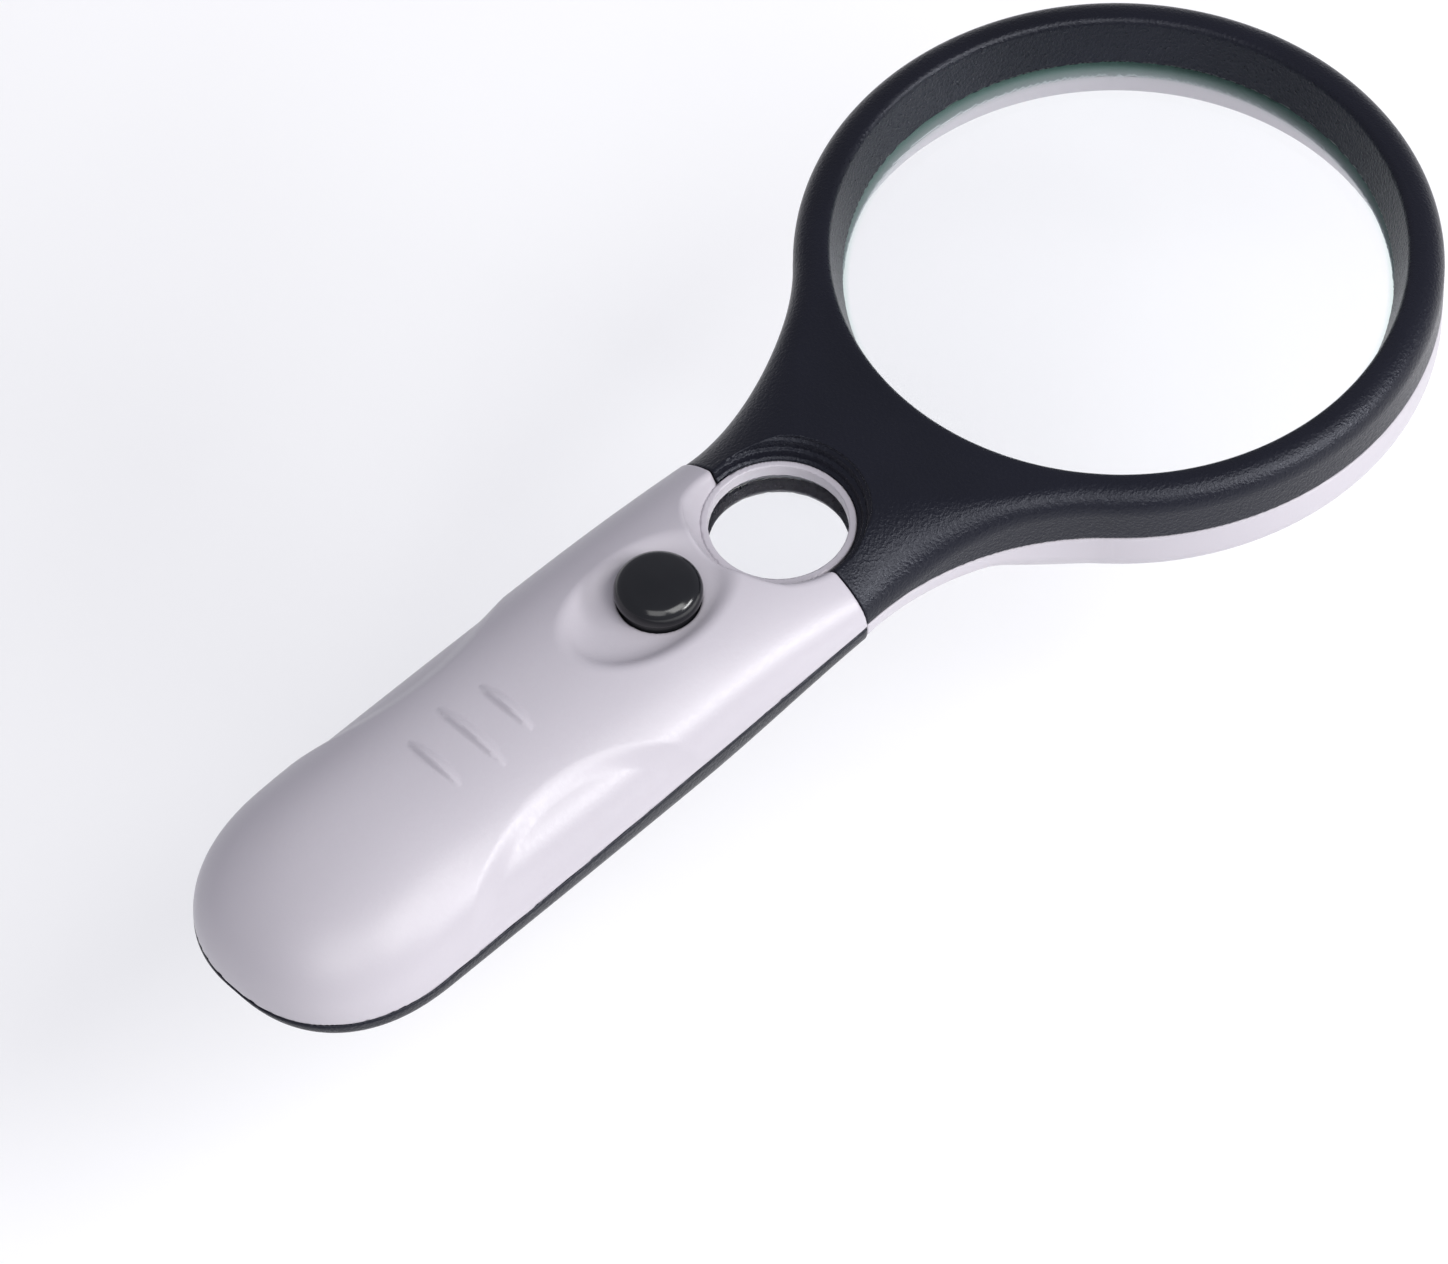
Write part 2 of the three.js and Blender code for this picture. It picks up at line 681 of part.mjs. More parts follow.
function batteryDoor() {
  const outline = box(doorRearX, doorFrontX, -doorHalfWidth, doorHalfWidth, -1, 3);
  const plate = without(outerHandle, handleBody(doorWall)).intersect(outline);
  const [lipZ, lipTopZ] = [1.7, 2.5];
  const tabs = sides.map((side) => {
    const [y0, y1] = [side * doorTabY - 1.5, side * doorTabY + 1.5];
    const root = box(doorFrontX - 3, doorFrontX - 1, y0, y1, bayFloorZ, lipTopZ);
    return joined(root, box(doorFrontX - 2, doorFrontX + 1.8, y0, y1, lipZ, lipTopZ));
  });
  const catchRoot = box(doorRearX + 0.2, doorRearX + 1.4, -catchHalf, catchHalf, bayFloorZ, lipTopZ);
  const catchLip = box(doorRearX - 1.3, doorRearX + 1.2, -catchHalf, catchHalf, lipZ, lipTopZ);
  return joined(plate, ...tabs, catchRoot, catchLip);
}

piece("battery_door", batteryDoor(), blackPlastic);

// ---------- Button and switch ----------

function buttonCap() {
  const shoulder = 2;
  const flangeZ = bowlPadZ - gap;
  const flangeThickness = 1;
  const plungerRecess = [2.6, flangeZ - 0.4]; // radius, and height of its ceiling
  const dome = roundedCorner(buttonRadius - shoulder, buttonTopZ - 0.3 - shoulder, shoulder, 0);
  const profile = [
    [0, plungerRecess[1]],
    plungerRecess,
    [plungerRecess[0], flangeZ - flangeThickness],
    [buttonFlange, flangeZ - flangeThickness],
    [buttonFlange, flangeZ],
    [buttonWaist, flangeZ],
    [buttonWaist, bowlFloorZ + 1],
    [buttonRadius, bowlFloorZ + 1.4],
    ...dome,
    [2, buttonTopZ - 0.1],
    [0, buttonTopZ],
  ];
  return turned(buttonX, 0, profile, 24);
}

piece("button_cap", buttonCap(), glossBlack);

const switchHalf = 4;
const switchZ = boardZ + boardThickness + gap;
const switchTopZ = 9.8;
const plungerHalf = 1.5;
const plungerZ = 7.5;
const buttonTravel = 0.9;

function centredBox(half, z0, z1) {
  return box(buttonX - half, buttonX + half, -half, half, z0, z1);
}

piece("switch_plunger", centredBox(plungerHalf, plungerZ, bowlPadZ - gap - 0.7), finish(0xd8d4c8, 0.5));
const plungerWell = centredBox(plungerHalf + gap, plungerZ - buttonTravel - gap, switchTopZ + 1);
piece("push_switch", without(centredBox(switchHalf, switchZ, switchTopZ), plungerWell), switchGrey);

// ---------- Boards, lamps and resistor ----------

const boardTopZ = boardZ + boardThickness;
const circuitBoard = box(boardRearX, boardFrontX, -boardHalfWidth, boardHalfWidth, boardZ, boardTopZ);
piece("circuit_board", circuitBoard, boardGreen);

function lampBoard() {
  const reach = 1.4 * lampSpread;
  const outline = new THREE.Shape();
  outline.absarc(0, 0, lampCircle + 3, Math.PI - reach, Math.PI + reach, false);
  outline.absarc(0, 0, lampCircle - 3, Math.PI + reach, Math.PI - reach, true);
  const options = { depth: boardThickness, bevelEnabled: false, curveSegments: 8 };
  return solid(new THREE.ExtrudeGeometry(outline, options).translate(ringX, 0, lampBoardZ));
}

piece("lamp_board", lampBoard(), boardGreen);

lampPlaces.forEach(([x, y], index) => {
  const topZ = lampBoardZ - gap;
  const flangeZ = topZ - 0.8;
  const flangeRadius = lampRadius + gap;
  const dome = roundedCorner(0, lampTipZ + lampRadius, lampRadius, -Math.PI / 2);
  const profile = [...dome, [lampRadius, flangeZ], [flangeRadius, flangeZ], [flangeRadius, topZ], [0, topZ]];
  piece("led_lamp_" + (index + 1), turned(x, y, profile, 14), lampResin);
});

function resistor() {
  const [y, z] = [-6.8, 6.4];
  const reach = 3; // half length over the bent legs
  const leadRadius = 0.25;
  const coat = [[0, 0], [0.8, 0], [0.9, 0.5], [0.9, 3.5], [0.8, 4], [0, 4]];
  const body = turnedAlongX(buttonX - 2, y, z, coat, 1, 8);
  const rod = [[0, 0], [leadRadius, 0], [leadRadius, 2 * reach], [0, 2 * reach]];
  const lead = turnedAlongX(buttonX - reach, y, z, rod, 1, 8);
  const legs = sides.map((side) => {
    const x = buttonX + side * (reach - leadRadius);
    return post(x, y, leadRadius, boardTopZ + gap, z, 8);
  });
  return joined(body, lead, ...legs);
}

piece("resistor", resistor(), resistorBeige);

// ---------- Cells and their contacts ----------

const cellRows = [
  { name: "aaa_cell_left", y: cellPitch, nub: 1 },
  { name: "aaa_cell_middle", y: 0, nub: -1 },
  { name: "aaa_cell_right", y: -cellPitch, nub: 1 },
];

for (const { name, y, nub } of cellRows) {
  const can = cellLength - nubLength;
  const profile = [
    [0, 0],
    [cellRadius - 0.4, 0],
    [cellRadius, 0.4],
    [cellRadius, can - 0.4],
    [cellRadius - 0.4, can],
    [nubRadius, can],
    [nubRadius, cellLength],
    [0, cellLength],
  ];
  piece(name, turnedAlongX(nub > 0 ? cellRearX : cellFrontX, y, cellZ, profile, nub, 28), cellSleeve);
}

// A conical coil that starts in the contact plate and narrows towards the cell.
class Coil extends THREE.Curve {
  constructor(y, direction, plateX) {
    super();
    this.y = y;
    this.direction = direction;
    this.plateX = plateX;
  }

  getPoint(t, target = new THREE.Vector3()) {
    const turns = 2.5;
    const angle = 2 * Math.PI * turns * t;
    const radius = mix(3, 1.7, t);
    const along = mix(-0.1, contactReach - 0.3, t);
    return target.set(
      this.plateX + this.direction * along,
      this.y + radius * Math.cos(angle),
      cellZ + radius * Math.sin(angle),
    );
  }
}

function coilSpring(y, direction, plateX) {
  const springWire = new THREE.Shape().absarc(0, 0, 0.28, 0, 2 * Math.PI);
  const extrudePath = new Coil(y, direction, plateX);
  const options = { steps: 24, curveSegments: 3, extrudePath, bevelEnabled: false };
  return solid(new THREE.ExtrudeGeometry(springWire, options));
}

function contactDome(y, direction, plateX) {
  const pressed = [[0, -0.2], [2.2, -0.2], [2, 0.6], [1.4, contactReach - 0.2]];
  const profile = [...pressed, [0.8, contactReach], [0, contactReach]];
  return turnedAlongX(plateX, y, cellZ, profile, direction, 12);
}

// A contact plate against a bay wall. direction points from the wall to the cells.
function contact(name, direction, domes, springs) {
  const wallX = direction < 0 ? bayFrontX : bayRearX;
  const backX = wallX + direction * gap;
  const plateX = backX + direction * contactThickness;
  const rows = [...domes, ...springs];
  const [low, high] = [Math.min(...rows) - 3.4, Math.max(...rows) + 3.4];
  const plate = box(Math.min(backX, plateX), Math.max(backX, plateX), low, high, 3.7, 9.8);
  const bumps = domes.map((y) => contactDome(y, direction, plateX));
  const coils = springs.map((y) => coilSpring(y, direction, plateX));
  piece(name, joined(plate, ...bumps, ...coils), springSteel);
}

contact("front_positive_contact", -1, [cellPitch], []);
contact("front_bridge_contact", -1, [-cellPitch], [0]);
contact("rear_bridge_contact", 1, [0], [cellPitch]);
contact("rear_negative_contact", 1, [], [-cellPitch]);

// ---------- Wires ----------

const padZ = boardTopZ + gap + wireRadius;
const padX = buttonX - 4.6;
const lampPadX = buttonX + 5.2;

const positiveRoute = [
  [bayFrontX - 0.5, cellPitch, 11.2],
  [bayFrontX + 0.8, 10.1, 11.6],
  [bayFrontX + 2.6, 9, 10],
  [padX - 0.5, 8, 7.4],
  [padX, 7.6, padZ],
];
const negativeRoute = [
  [bayRearX + 0.5, -cellPitch, 11.1],
  [bayRearX + 1.6, -8.4, 11.9],
  [bayRearX + 6, -5.6, 11],
  [bayRearX + 12, -5.25, 10.3],
  [bayFrontX - 8, -5.25, 10.3],
  [bayFrontX - 1, -5.6, 11.7],
  [bayFrontX + 1.9, -6.3, 11.2],
  [padX - 0.6, -7.3, 7.6],
  [padX, -7.6, padZ],
];
const lampRoute = (side) => [
  [smallX + 14.3, side * 9.3, lampBoardZ + boardThickness + gap + wireRadius],
  [smallX + 9, side * 8.9, 9.8],
  [smallX + 5, side * 12.2, 9.4],
  [smallX, side * 12.8, 9.3],
  [smallX - 5, side * 12.1, 9.2],
  [smallX - 10, side * 9.2, 8.6],
  [lampPadX + 1.4, side * 6.8, 6.6],
  [lampPadX - 0.4, side * 6.4, padZ],
];

piece("battery_wire_positive", wire(positiveRoute, 14), redWire);
piece("battery_wire_negative", wire(negativeRoute, 34), blackWire);
piece("lamp_wire_positive", wire(lampRoute(1), 26), redWire);
piece("lamp_wire_negative", wire(lampRoute(-1), 26), blackWire);

// ---------- Screws ----------

// A pan-head screw that is driven upwards, with its head at headZ and a crossed slot in the head.
function screw(name, x, y, headZ, tipZ) {
  const shankZ = headZ + screwHeadHeight;
  const profile = [
    [0, headZ],
    [screwHeadRadius - 0.5, headZ],
    [screwHeadRadius, headZ + 0.5],
    [screwHeadRadius, shankZ],
    [screwShankRadius, shankZ],
    [screwShankRadius, tipZ - 1],
    [0.2, tipZ],
    [0, tipZ],
  ];
  const slots = [
    box(x - 1.3, x + 1.3, y - 0.3, y + 0.3, headZ - 1, headZ + 0.7),
    box(x - 0.3, x + 0.3, y - 1.3, y + 1.3, headZ - 1, headZ + 0.7),
  ];
  piece(name, without(turned(x, y, profile, 14), ...slots), steel);
}

for (const side of sides) {
  screw("neck_screw_" + sideName(side), neckScrewX, side * neckScrewY, neckLift + 0.2, 11.8);
  screw("handle_screw_" + sideName(side), handleScrewX, side * handleScrewY, 2.6, 11.4);
}
screw("butt_screw", buttScrewX, 0, 1, 10);

export default magnifier;
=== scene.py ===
"""The looks of a lighted low vision magnifier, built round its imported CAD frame.

The five moulded pieces are meshed finely from signed distance fields, in millimetres in the CAD frame.
The lenses, the button cap and the lamps are turned. Everything else keeps its CAD mesh and gets a material.
"""

import json
import math

import bmesh
import bpy
import numpy as np
from mathutils import Matrix, Vector


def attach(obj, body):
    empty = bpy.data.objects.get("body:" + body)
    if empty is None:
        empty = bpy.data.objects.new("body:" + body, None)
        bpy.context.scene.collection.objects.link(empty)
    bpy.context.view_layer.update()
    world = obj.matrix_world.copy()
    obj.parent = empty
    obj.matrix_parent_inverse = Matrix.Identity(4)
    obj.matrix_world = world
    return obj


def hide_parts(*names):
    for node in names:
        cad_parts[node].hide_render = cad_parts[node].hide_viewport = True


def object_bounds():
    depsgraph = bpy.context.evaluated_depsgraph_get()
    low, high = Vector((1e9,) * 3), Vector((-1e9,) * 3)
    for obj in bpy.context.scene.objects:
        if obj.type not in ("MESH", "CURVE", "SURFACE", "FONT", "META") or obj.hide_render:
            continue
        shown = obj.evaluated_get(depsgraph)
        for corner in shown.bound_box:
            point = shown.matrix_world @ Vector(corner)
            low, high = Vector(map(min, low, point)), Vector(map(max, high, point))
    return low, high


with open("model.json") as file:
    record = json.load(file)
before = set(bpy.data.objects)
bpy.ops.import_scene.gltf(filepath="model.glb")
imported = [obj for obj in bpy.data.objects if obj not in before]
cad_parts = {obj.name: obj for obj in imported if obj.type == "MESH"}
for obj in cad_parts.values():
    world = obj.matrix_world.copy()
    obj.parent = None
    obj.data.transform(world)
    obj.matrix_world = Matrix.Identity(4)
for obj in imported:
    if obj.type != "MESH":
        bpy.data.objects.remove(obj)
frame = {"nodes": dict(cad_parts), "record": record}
cad_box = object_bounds()

MM = 0.001

# ---------- Driving dimensions, in millimetres ----------

TOTAL_LENGTH = 195.0
GAP = 0.3
SEAM_GAP = 0.14  # fine line between two mouldings
WALL = 1.2
COVER_WALL = 1.6

RING_RADIUS = 41.5
RING_HEIGHT = 15.0
RING_ROUNDING = 3.2
RING_WALL_RADIUS = 39.3
MOUTH_RADIUS = 36.85
REAR_MOUTH_RADIUS = 37.4
LENS_WINDOW = 35.07
SEAM_HEIGHT = 7.2

RING_X = TOTAL_LENGTH / 2 - RING_RADIUS
SMALL_X = RING_X - 60.5
JOINT_X = SMALL_X - 1
BUTT_X = -TOTAL_LENGTH / 2
HANDLE_LENGTH = JOINT_X - BUTT_X

NECK_ARC_RADIUS = 38.6
NECK_ARC_X = RING_X - 58
NECK_ARC_Y = math.sqrt((RING_RADIUS + NECK_ARC_RADIUS) ** 2 - (RING_X - NECK_ARC_X) ** 2)
NECK_MEETS_RING_X = RING_X - RING_RADIUS * (RING_X - NECK_ARC_X) / (RING_RADIUS + NECK_ARC_RADIUS)
NECK_LIFT = 2.7
SHOULDER_RUN = 24.0

HANDLE_HALF_WIDTH = 17.8
HANDLE_WIDEST_X = RING_X - 125
FRONT_NARROWING = 0.8
NARROWING_RUN = 64.0
CROWN_RISE = 2.9
CROWN_RUN = 24.0
SEAM_DROP = 3.6
TOP_POWER = 2.15
BOTTOM_POWER = 4.0
BUTT_POWER = 2.3
BUTT_PLAN_RUN = 20.3
BUTT_TOP_RUN = 31.5
BUTT_BOTTOM_RUN = 15.5
BOTTOM_LEVEL_X = JOINT_X - 29

MAIN_LENS = {"x": RING_X, "z": 7.15, "radius": 37.4, "edge": 1.1, "bulge": 3.7}
SMALL_LENS = {"x": SMALL_X, "z": 8.75, "radius": 10.2, "edge": 1.5, "bulge": 1.55}
LENS_SEAT_HALF = 1.3
GREEN_FROM = 34.3  # the lens looks greener outside this radius

DISH_RADIUS = 11.7
DISH_PAD_RADIUS = DISH_RADIUS + 1.2
RIM_RADIUS = 9.8
RIM_WINDOW = 8.85
RIM_Z = 12.2
HOLDER_RADIUS = 11.6
HOLDER_TOP_Z = 11.0
LENS_SEAT_Z = 10.0
COLLAR_TOP_Z = 7.3
LIP_TOP_Z = 5.2

BUTTON_X = SMALL_X - 20.7
BUTTON_RADIUS = 5.6
BUTTON_WAIST = 5.2
BUTTON_FLANGE = 6.4
BUTTON_TOP_Z = 19.7
BOWL_X = BUTTON_X - 1.3
BOWL_FLOOR_Z = 15.7
BOWL_LENGTH = 25.8
BOWL_WIDTH = 16.8
BOWL_PAD_Z = 14.3

SCALLOP_X = RING_X - 110.5
SCALLOP_Y = 42.4
SCALLOP_RADIUS = 31.9
SCALLOP_DEPTH = 0.6
SCALLOP_BAND = 2.4
RIB_HEIGHT = 0.62
RIB_FRONT = 1.5
RIB_REAR = 0.8
RIBS = [(RING_X - 107.2, 9.4), (RING_X - 113.2, 12.2), (RING_X - 119.4, 9.4)]

CELL_FRONT_X = BUTTON_X - 10.1
CELL_REAR_X = CELL_FRONT_X - 44.5
BAY_FRONT_X = CELL_FRONT_X + 3
BAY_REAR_X = CELL_REAR_X - 3
BAY_WALL_TOP_Z = 10.6
BAY_FLOOR_Z = 0.8
DOOR_FRONT_X = BAY_FRONT_X - 1.5
DOOR_REAR_X = BAY_REAR_X + 0.6
DOOR_HALF_WIDTH = 14.3
DOOR_WALL = 1.3
DOOR_TAB_Y = 5.25
TAB_HALF_WIDTH = 1.5
TAB_ROOT_Z = 0.8
TAB_UNDER_Z = 1.7
TAB_TOP_Z = 2.5
CATCH_HALF_WIDTH = 3
GRIP_COUNT = 5
GRIP_PITCH = 2.2

WELL_RADIUS = 2.5
PILOT_RADIUS = 1.3
NECK_SCREW = (SMALL_X + 9, 12.4)
HANDLE_SCREW = (JOINT_X - 11.5, 12.6)
BUTT_SCREW = (BUTT_X + 7, 0.0)
LAMP_CIRCLE = 45.0
LAMP_SPREAD = math.radians(12.5)
LAMP_RADIUS = 1.5
LAMP_TIP_Z = 2.3
LAMP_TOP_Z = 7.4
LAMP_FLANGE_RADIUS = 1.8

NECK_BOSS_RADIUS = 2.3  # front cover's bosses for the neck screws
NECK_PAD_RADIUS = 3.2  # rear cover's thicker floor round their wells
TOP_BOSS_RADIUS = 2.7  # top shell's screw bosses
LOWER_POST_RADIUS = 3.0  # bottom shell's posts under them
BOSS_TOP_Z = 14.0
ABOVE = 40.0  # clear of the top of every piece

EDGE = 0.3  # rounding of plain moulded edges
SEAM_EDGE = 0.35  # rounding of the handle shells' edges along their seam

BOX = [np.array(corner) / MM for corner in cad_box]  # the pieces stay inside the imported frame

# ---------- Small field kit ----------


def clamp(t):
    return np.clip(t, 0.0, 1.0)


def smooth(t):
    t = clamp(t)
    return t * t * (3 - 2 * t)


def mix(a, b, t):
    return a + (b - a) * t


def cut_with(a, b, k):
    """Where both a and b are inside, with the edge between them rounded over about k."""
    h = np.maximum(k - np.abs(a - b), 0) / k
    return np.maximum(a, b) + h * h * k / 4


def join_with(a, b, k):
    return -cut_with(-a, -b, k)


def box_field(x, y, z, x0, x1, y0, y1, z0, z1):
    qx = np.abs(x - (x0 + x1) / 2) - (x1 - x0) / 2
    qy = np.abs(y - (y0 + y1) / 2) - (y1 - y0) / 2
    qz = np.abs(z - (z0 + z1) / 2) - (z1 - z0) / 2
    outside = np.sqrt(np.maximum(qx, 0) ** 2 + np.maximum(qy, 0) ** 2 + np.maximum(qz, 0) ** 2)
    return outside + np.minimum(np.maximum(np.maximum(qx, qy), qz), 0)


def post_field(x, y, z, cx, cy, radius, z0, z1):
    r = np.hypot(x - cx, y - cy) - radius
    h = np.abs(z - (z0 + z1) / 2) - (z1 - z0) / 2
    return np.hypot(np.maximum(r, 0), np.maximum(h, 0)) + np.minimum(np.maximum(r, h), 0)


def outline_field(r, z, outline):
    """Signed distance in the r, z plane to a closed outline."""
    best = np.full(r.shape, 1e9)
    inside = np.zeros(r.shape, bool)
    for (r0, z0), (r1, z1) in zip(outline, outline[1:] + outline[:1]):
        er, ez = r1 - r0, z1 - z0
        t = clamp(((r - r0) * er + (z - z0) * ez) / (er * er + ez * ez))
        best = np.minimum(best, (r - r0 - t * er) ** 2 + (z - z0 - t * ez) ** 2)
        if z0 != z1:
            crosses = (z0 <= z) != (z1 <= z)
            inside ^= crosses & (r < r0 + (z - z0) * er / ez)
    return np.where(inside, -1, 1) * np.sqrt(best)


# ---------- Outline of the handle and neck ----------


def butt_fade(x, run):
    back = clamp(1 - (x - BUTT_X) / run)
    return (1 - back**BUTT_POWER) ** (1 / BUTT_POWER)


def along_handle(x):
    return clamp((JOINT_X - x) / HANDLE_LENGTH)


def seam_z(x):
    return SEAM_HEIGHT - SEAM_DROP * along_handle(x) ** 1.25


def crown_z(x):
    return RING_HEIGHT + CROWN_RISE * (1 - (1 - clamp((JOINT_X - x) / CROWN_RUN)) ** 2)


def underside_z(x):
    return NECK_LIFT * (1 - smooth((JOINT_X - x) / (JOINT_X - BOTTOM_LEVEL_X)))


def superellipse(across, up, power):
    """Value and slopes of a superellipse over scaled coordinates, 0 on its edge."""
    size = np.maximum((across**power + up**power) ** (1 / power), 1e-4)
    return size - 1, (across / size) ** (power - 1), (up / size) ** (power - 1)


def section_field(y, z, base_z, half_width, run, rise, straight, power):
    """Distance in a cross-section to an arch on the seam: a shoulder over a straight side."""
    out = np.abs(y) - (half_width - run)
    up = np.abs(z - base_z) - straight
    value, slope_y, slope_z = superellipse(np.maximum(out, 0) / run, np.maximum(up, 0) / rise, power)
    shoulder = value / np.maximum(np.hypot(slope_y / run, slope_z / rise), 1e-6)
    flat = np.maximum(out - run, up - rise)
    return np.where((out > 0) & (up > 0), shoulder, flat)


def handle_raw(x, y, z):
    base = seam_z(x)
    narrowing = FRONT_NARROWING * (np.maximum(x - HANDLE_WIDEST_X, 0) / NARROWING_RUN) ** 2
    half_width = np.maximum((HANDLE_HALF_WIDTH - narrowing) * butt_fade(x, BUTT_PLAN_RUN), 0.02)
    rise = np.maximum((crown_z(x) - base) * butt_fade(x, BUTT_TOP_RUN), 0.02)
    depth = np.maximum((base - underside_z(x)) * butt_fade(x, BUTT_BOTTOM_RUN), 0.02)
    upper = z >= base
    power = np.where(upper, TOP_POWER, BOTTOM_POWER)
    tall = np.where(upper, rise, depth)
    size, _, _ = superellipse(np.abs(y) / half_width, np.abs(z - base) / tall, power)
    return size


def handle_field(x, y, z):
    """About the distance to the handle's outer skin: the raw value over its slope."""
    step = 0.02
    here = handle_raw(x, y, z)
    slope = np.sqrt(
        (handle_raw(x + step, y, z) - here) ** 2
        + (handle_raw(x, y + step, z) - here) ** 2
        + (handle_raw(x, y, z + step) - here) ** 2
    )
    distance = here * step / np.maximum(slope, 1e-5)
    return np.maximum(np.clip(distance, -8, 8), BUTT_X - x)


def neck_field(x, y, z):
    inside_x = np.clip(x, JOINT_X, NECK_MEETS_RING_X)
    half_width = NECK_ARC_Y - np.sqrt(NECK_ARC_RADIUS**2 - (inside_x - NECK_ARC_X) ** 2)
    flatten = smooth((inside_x - JOINT_X) / SHOULDER_RUN)
    slant = np.sqrt(1 - ((inside_x - NECK_ARC_X) / NECK_ARC_RADIUS) ** 2)
    run = mix(half_width, RING_ROUNDING / slant, flatten)
    rise = RING_HEIGHT - SEAM_HEIGHT
    top_rise = mix(rise, RING_ROUNDING, flatten)
    top_power = mix(TOP_POWER, 2, flatten)
    top = section_field(y, z, SEAM_HEIGHT, half_width, run, top_rise, rise - top_rise, top_power)
    ring_reach = np.hypot(x - RING_X, y)
    lift = NECK_LIFT * smooth((ring_reach - RING_RADIUS + 1.5) / 7)
    depth = SEAM_HEIGHT - lift
    low_rise = mix(depth, np.minimum(RING_ROUNDING, depth), flatten)
    low_power = mix(BOTTOM_POWER, 2, flatten)
    low = section_field(y, z, SEAM_HEIGHT, half_width, run, low_rise, depth - low_rise, low_power)
    return np.maximum(np.where(z >= SEAM_HEIGHT, top, low), x - NECK_MEETS_RING_X - 5)


def ring_field(x, y, z):
    r = np.hypot(x - RING_X, y) - (RING_RADIUS - RING_ROUNDING)
    h = np.abs(z - RING_HEIGHT / 2) - (RING_HEIGHT / 2 - RING_ROUNDING)
    return np.hypot(np.maximum(r, 0), np.maximum(h, 0)) + np.minimum(np.maximum(r, h), 0) - RING_ROUNDING


def covers_field(x, y, z):
    """Both ring covers as one solid, with the lens opening cut."""
    body = join_with(ring_field(x, y, z), neck_field(x, y, z), 0.15)
    r = np.hypot(x - RING_X, y)
    lens_z = MAIN_LENS["z"]
    away = np.maximum(np.abs(z - lens_z) - LENS_SEAT_HALF, 0)
    mouth = np.where(z > lens_z, MOUTH_RADIUS, REAR_MOUTH_RADIUS)
    cone = mix(LENS_WINDOW, mouth, away / (RING_HEIGHT / 2 - LENS_SEAT_HALF))
    body = cut_with(body, cone - r, 0.9)
    groove = np.maximum(r - (MAIN_LENS["radius"] + GAP), np.abs(z - lens_z) - LENS_SEAT_HALF)
    body = np.maximum(body, -groove)
    hollow = np.maximum(neck_field(x, y, z) + COVER_WALL, RING_WALL_RADIUS - r)
    pad = post_field(x, y, z, SMALL_X, 0, DISH_PAD_RADIUS, HOLDER_TOP_Z + GAP, 2 * RING_HEIGHT)
    return np.maximum(body, -np.maximum(hollow, -pad))


DISH_STEPS = [(DISH_RADIUS, 14.6), (11.3, 14.2), (11.1, 13.3), (10.6, 13.1), (10.4, 12.3), (10.1, 12.0)]


def dish_field(x, y, z):
    r = np.hypot(x - SMALL_X, y)
    floor_z = RIM_Z - 0.2
    outline = [(-1.0, floor_z), *reversed(DISH_STEPS), (DISH_RADIUS, ABOVE), (-1.0, ABOVE)]
    return outline_field(r, z, outline)


SMOOTH_DISH = [
    (-1.0, 12.0),
    (9.9, 12.0),
    (10.9, 13.6),
    (DISH_RADIUS, 15.0),
    (DISH_RADIUS, ABOVE),
    (-1.0, ABOVE),
]


def both_sides(place):
    return [(place[0], place[1]), (place[0], -place[1])]


def bored(body, x, y, z, places, radius, z0, z1, k=0.25):
    for cx, cy in places:
        body = cut_with(body, -post_field(x, y, z, cx, cy, radius, z0, z1), k)
    return body


def lamp_places():
    angles = [math.pi + k * LAMP_SPREAD for k in (1, 0, -1)]
    return [(RING_X + LAMP_CIRCLE * math.cos(a), LAMP_CIRCLE * math.sin(a)) for a in angles]


# ---------- The moulded pieces as fields ----------


def front_cover(x, y, z):
    body = covers_field(x, y, z)
    body = cut_with(body, SEAM_HEIGHT + SEAM_GAP / 2 - z, EDGE)
    body = cut_with(body, JOINT_X + SEAM_GAP - x, EDGE)
    body = cut_with(body, -dish_field(x, y, z), 0.16)
    room = np.minimum(
        post_field(x, y, z, SMALL_X, 0, HOLDER_RADIUS + GAP, -5, HOLDER_TOP_Z + GAP),
        post_field(x, y, z, SMALL_X, 0, RIM_RADIUS + 0.12, -5, ABOVE),
    )
    body = np.maximum(body, -room)
    within = neck_field(x, y, z) + COVER_WALL / 2
    for cx, cy in both_sides(NECK_SCREW):
        boss = post_field(x, y, z, cx, cy, NECK_BOSS_RADIUS, SEAM_HEIGHT, BOSS_TOP_Z)
        body = np.minimum(body, np.maximum(boss, within))
    return bored(body, x, y, z, both_sides(NECK_SCREW), PILOT_RADIUS, 0, 12.4)


def rear_cover(x, y, z):
    body = covers_field(x, y, z)
    body = cut_with(body, z - SEAM_HEIGHT + SEAM_GAP / 2, EDGE)
    body = cut_with(body, JOINT_X + SEAM_GAP - x, EDGE)
    for cx, cy in both_sides(NECK_SCREW):
        body = np.minimum(body, post_field(x, y, z, cx, cy, NECK_PAD_RADIUS, 3.2, LIP_TOP_Z))
    body = bored(body, x, y, z, both_sides(NECK_SCREW), WELL_RADIUS, -1, 4.5)
    body = bored(body, x, y, z, both_sides(NECK_SCREW), PILOT_RADIUS, -1, 6)
    body = bored(body, x, y, z, lamp_places(), LAMP_RADIUS + GAP, -1, 6, 0.5)
    lip = post_field(x, y, z, SMALL_X, 0, HOLDER_RADIUS + GAP + 1, NECK_LIFT + 0.5, LIP_TOP_Z)
    body = np.minimum(body, np.maximum(lip, JOINT_X + SEAM_GAP - x))
    return bored(body, x, y, z, [(SMALL_X, 0)], HOLDER_RADIUS + GAP, -5, 30)


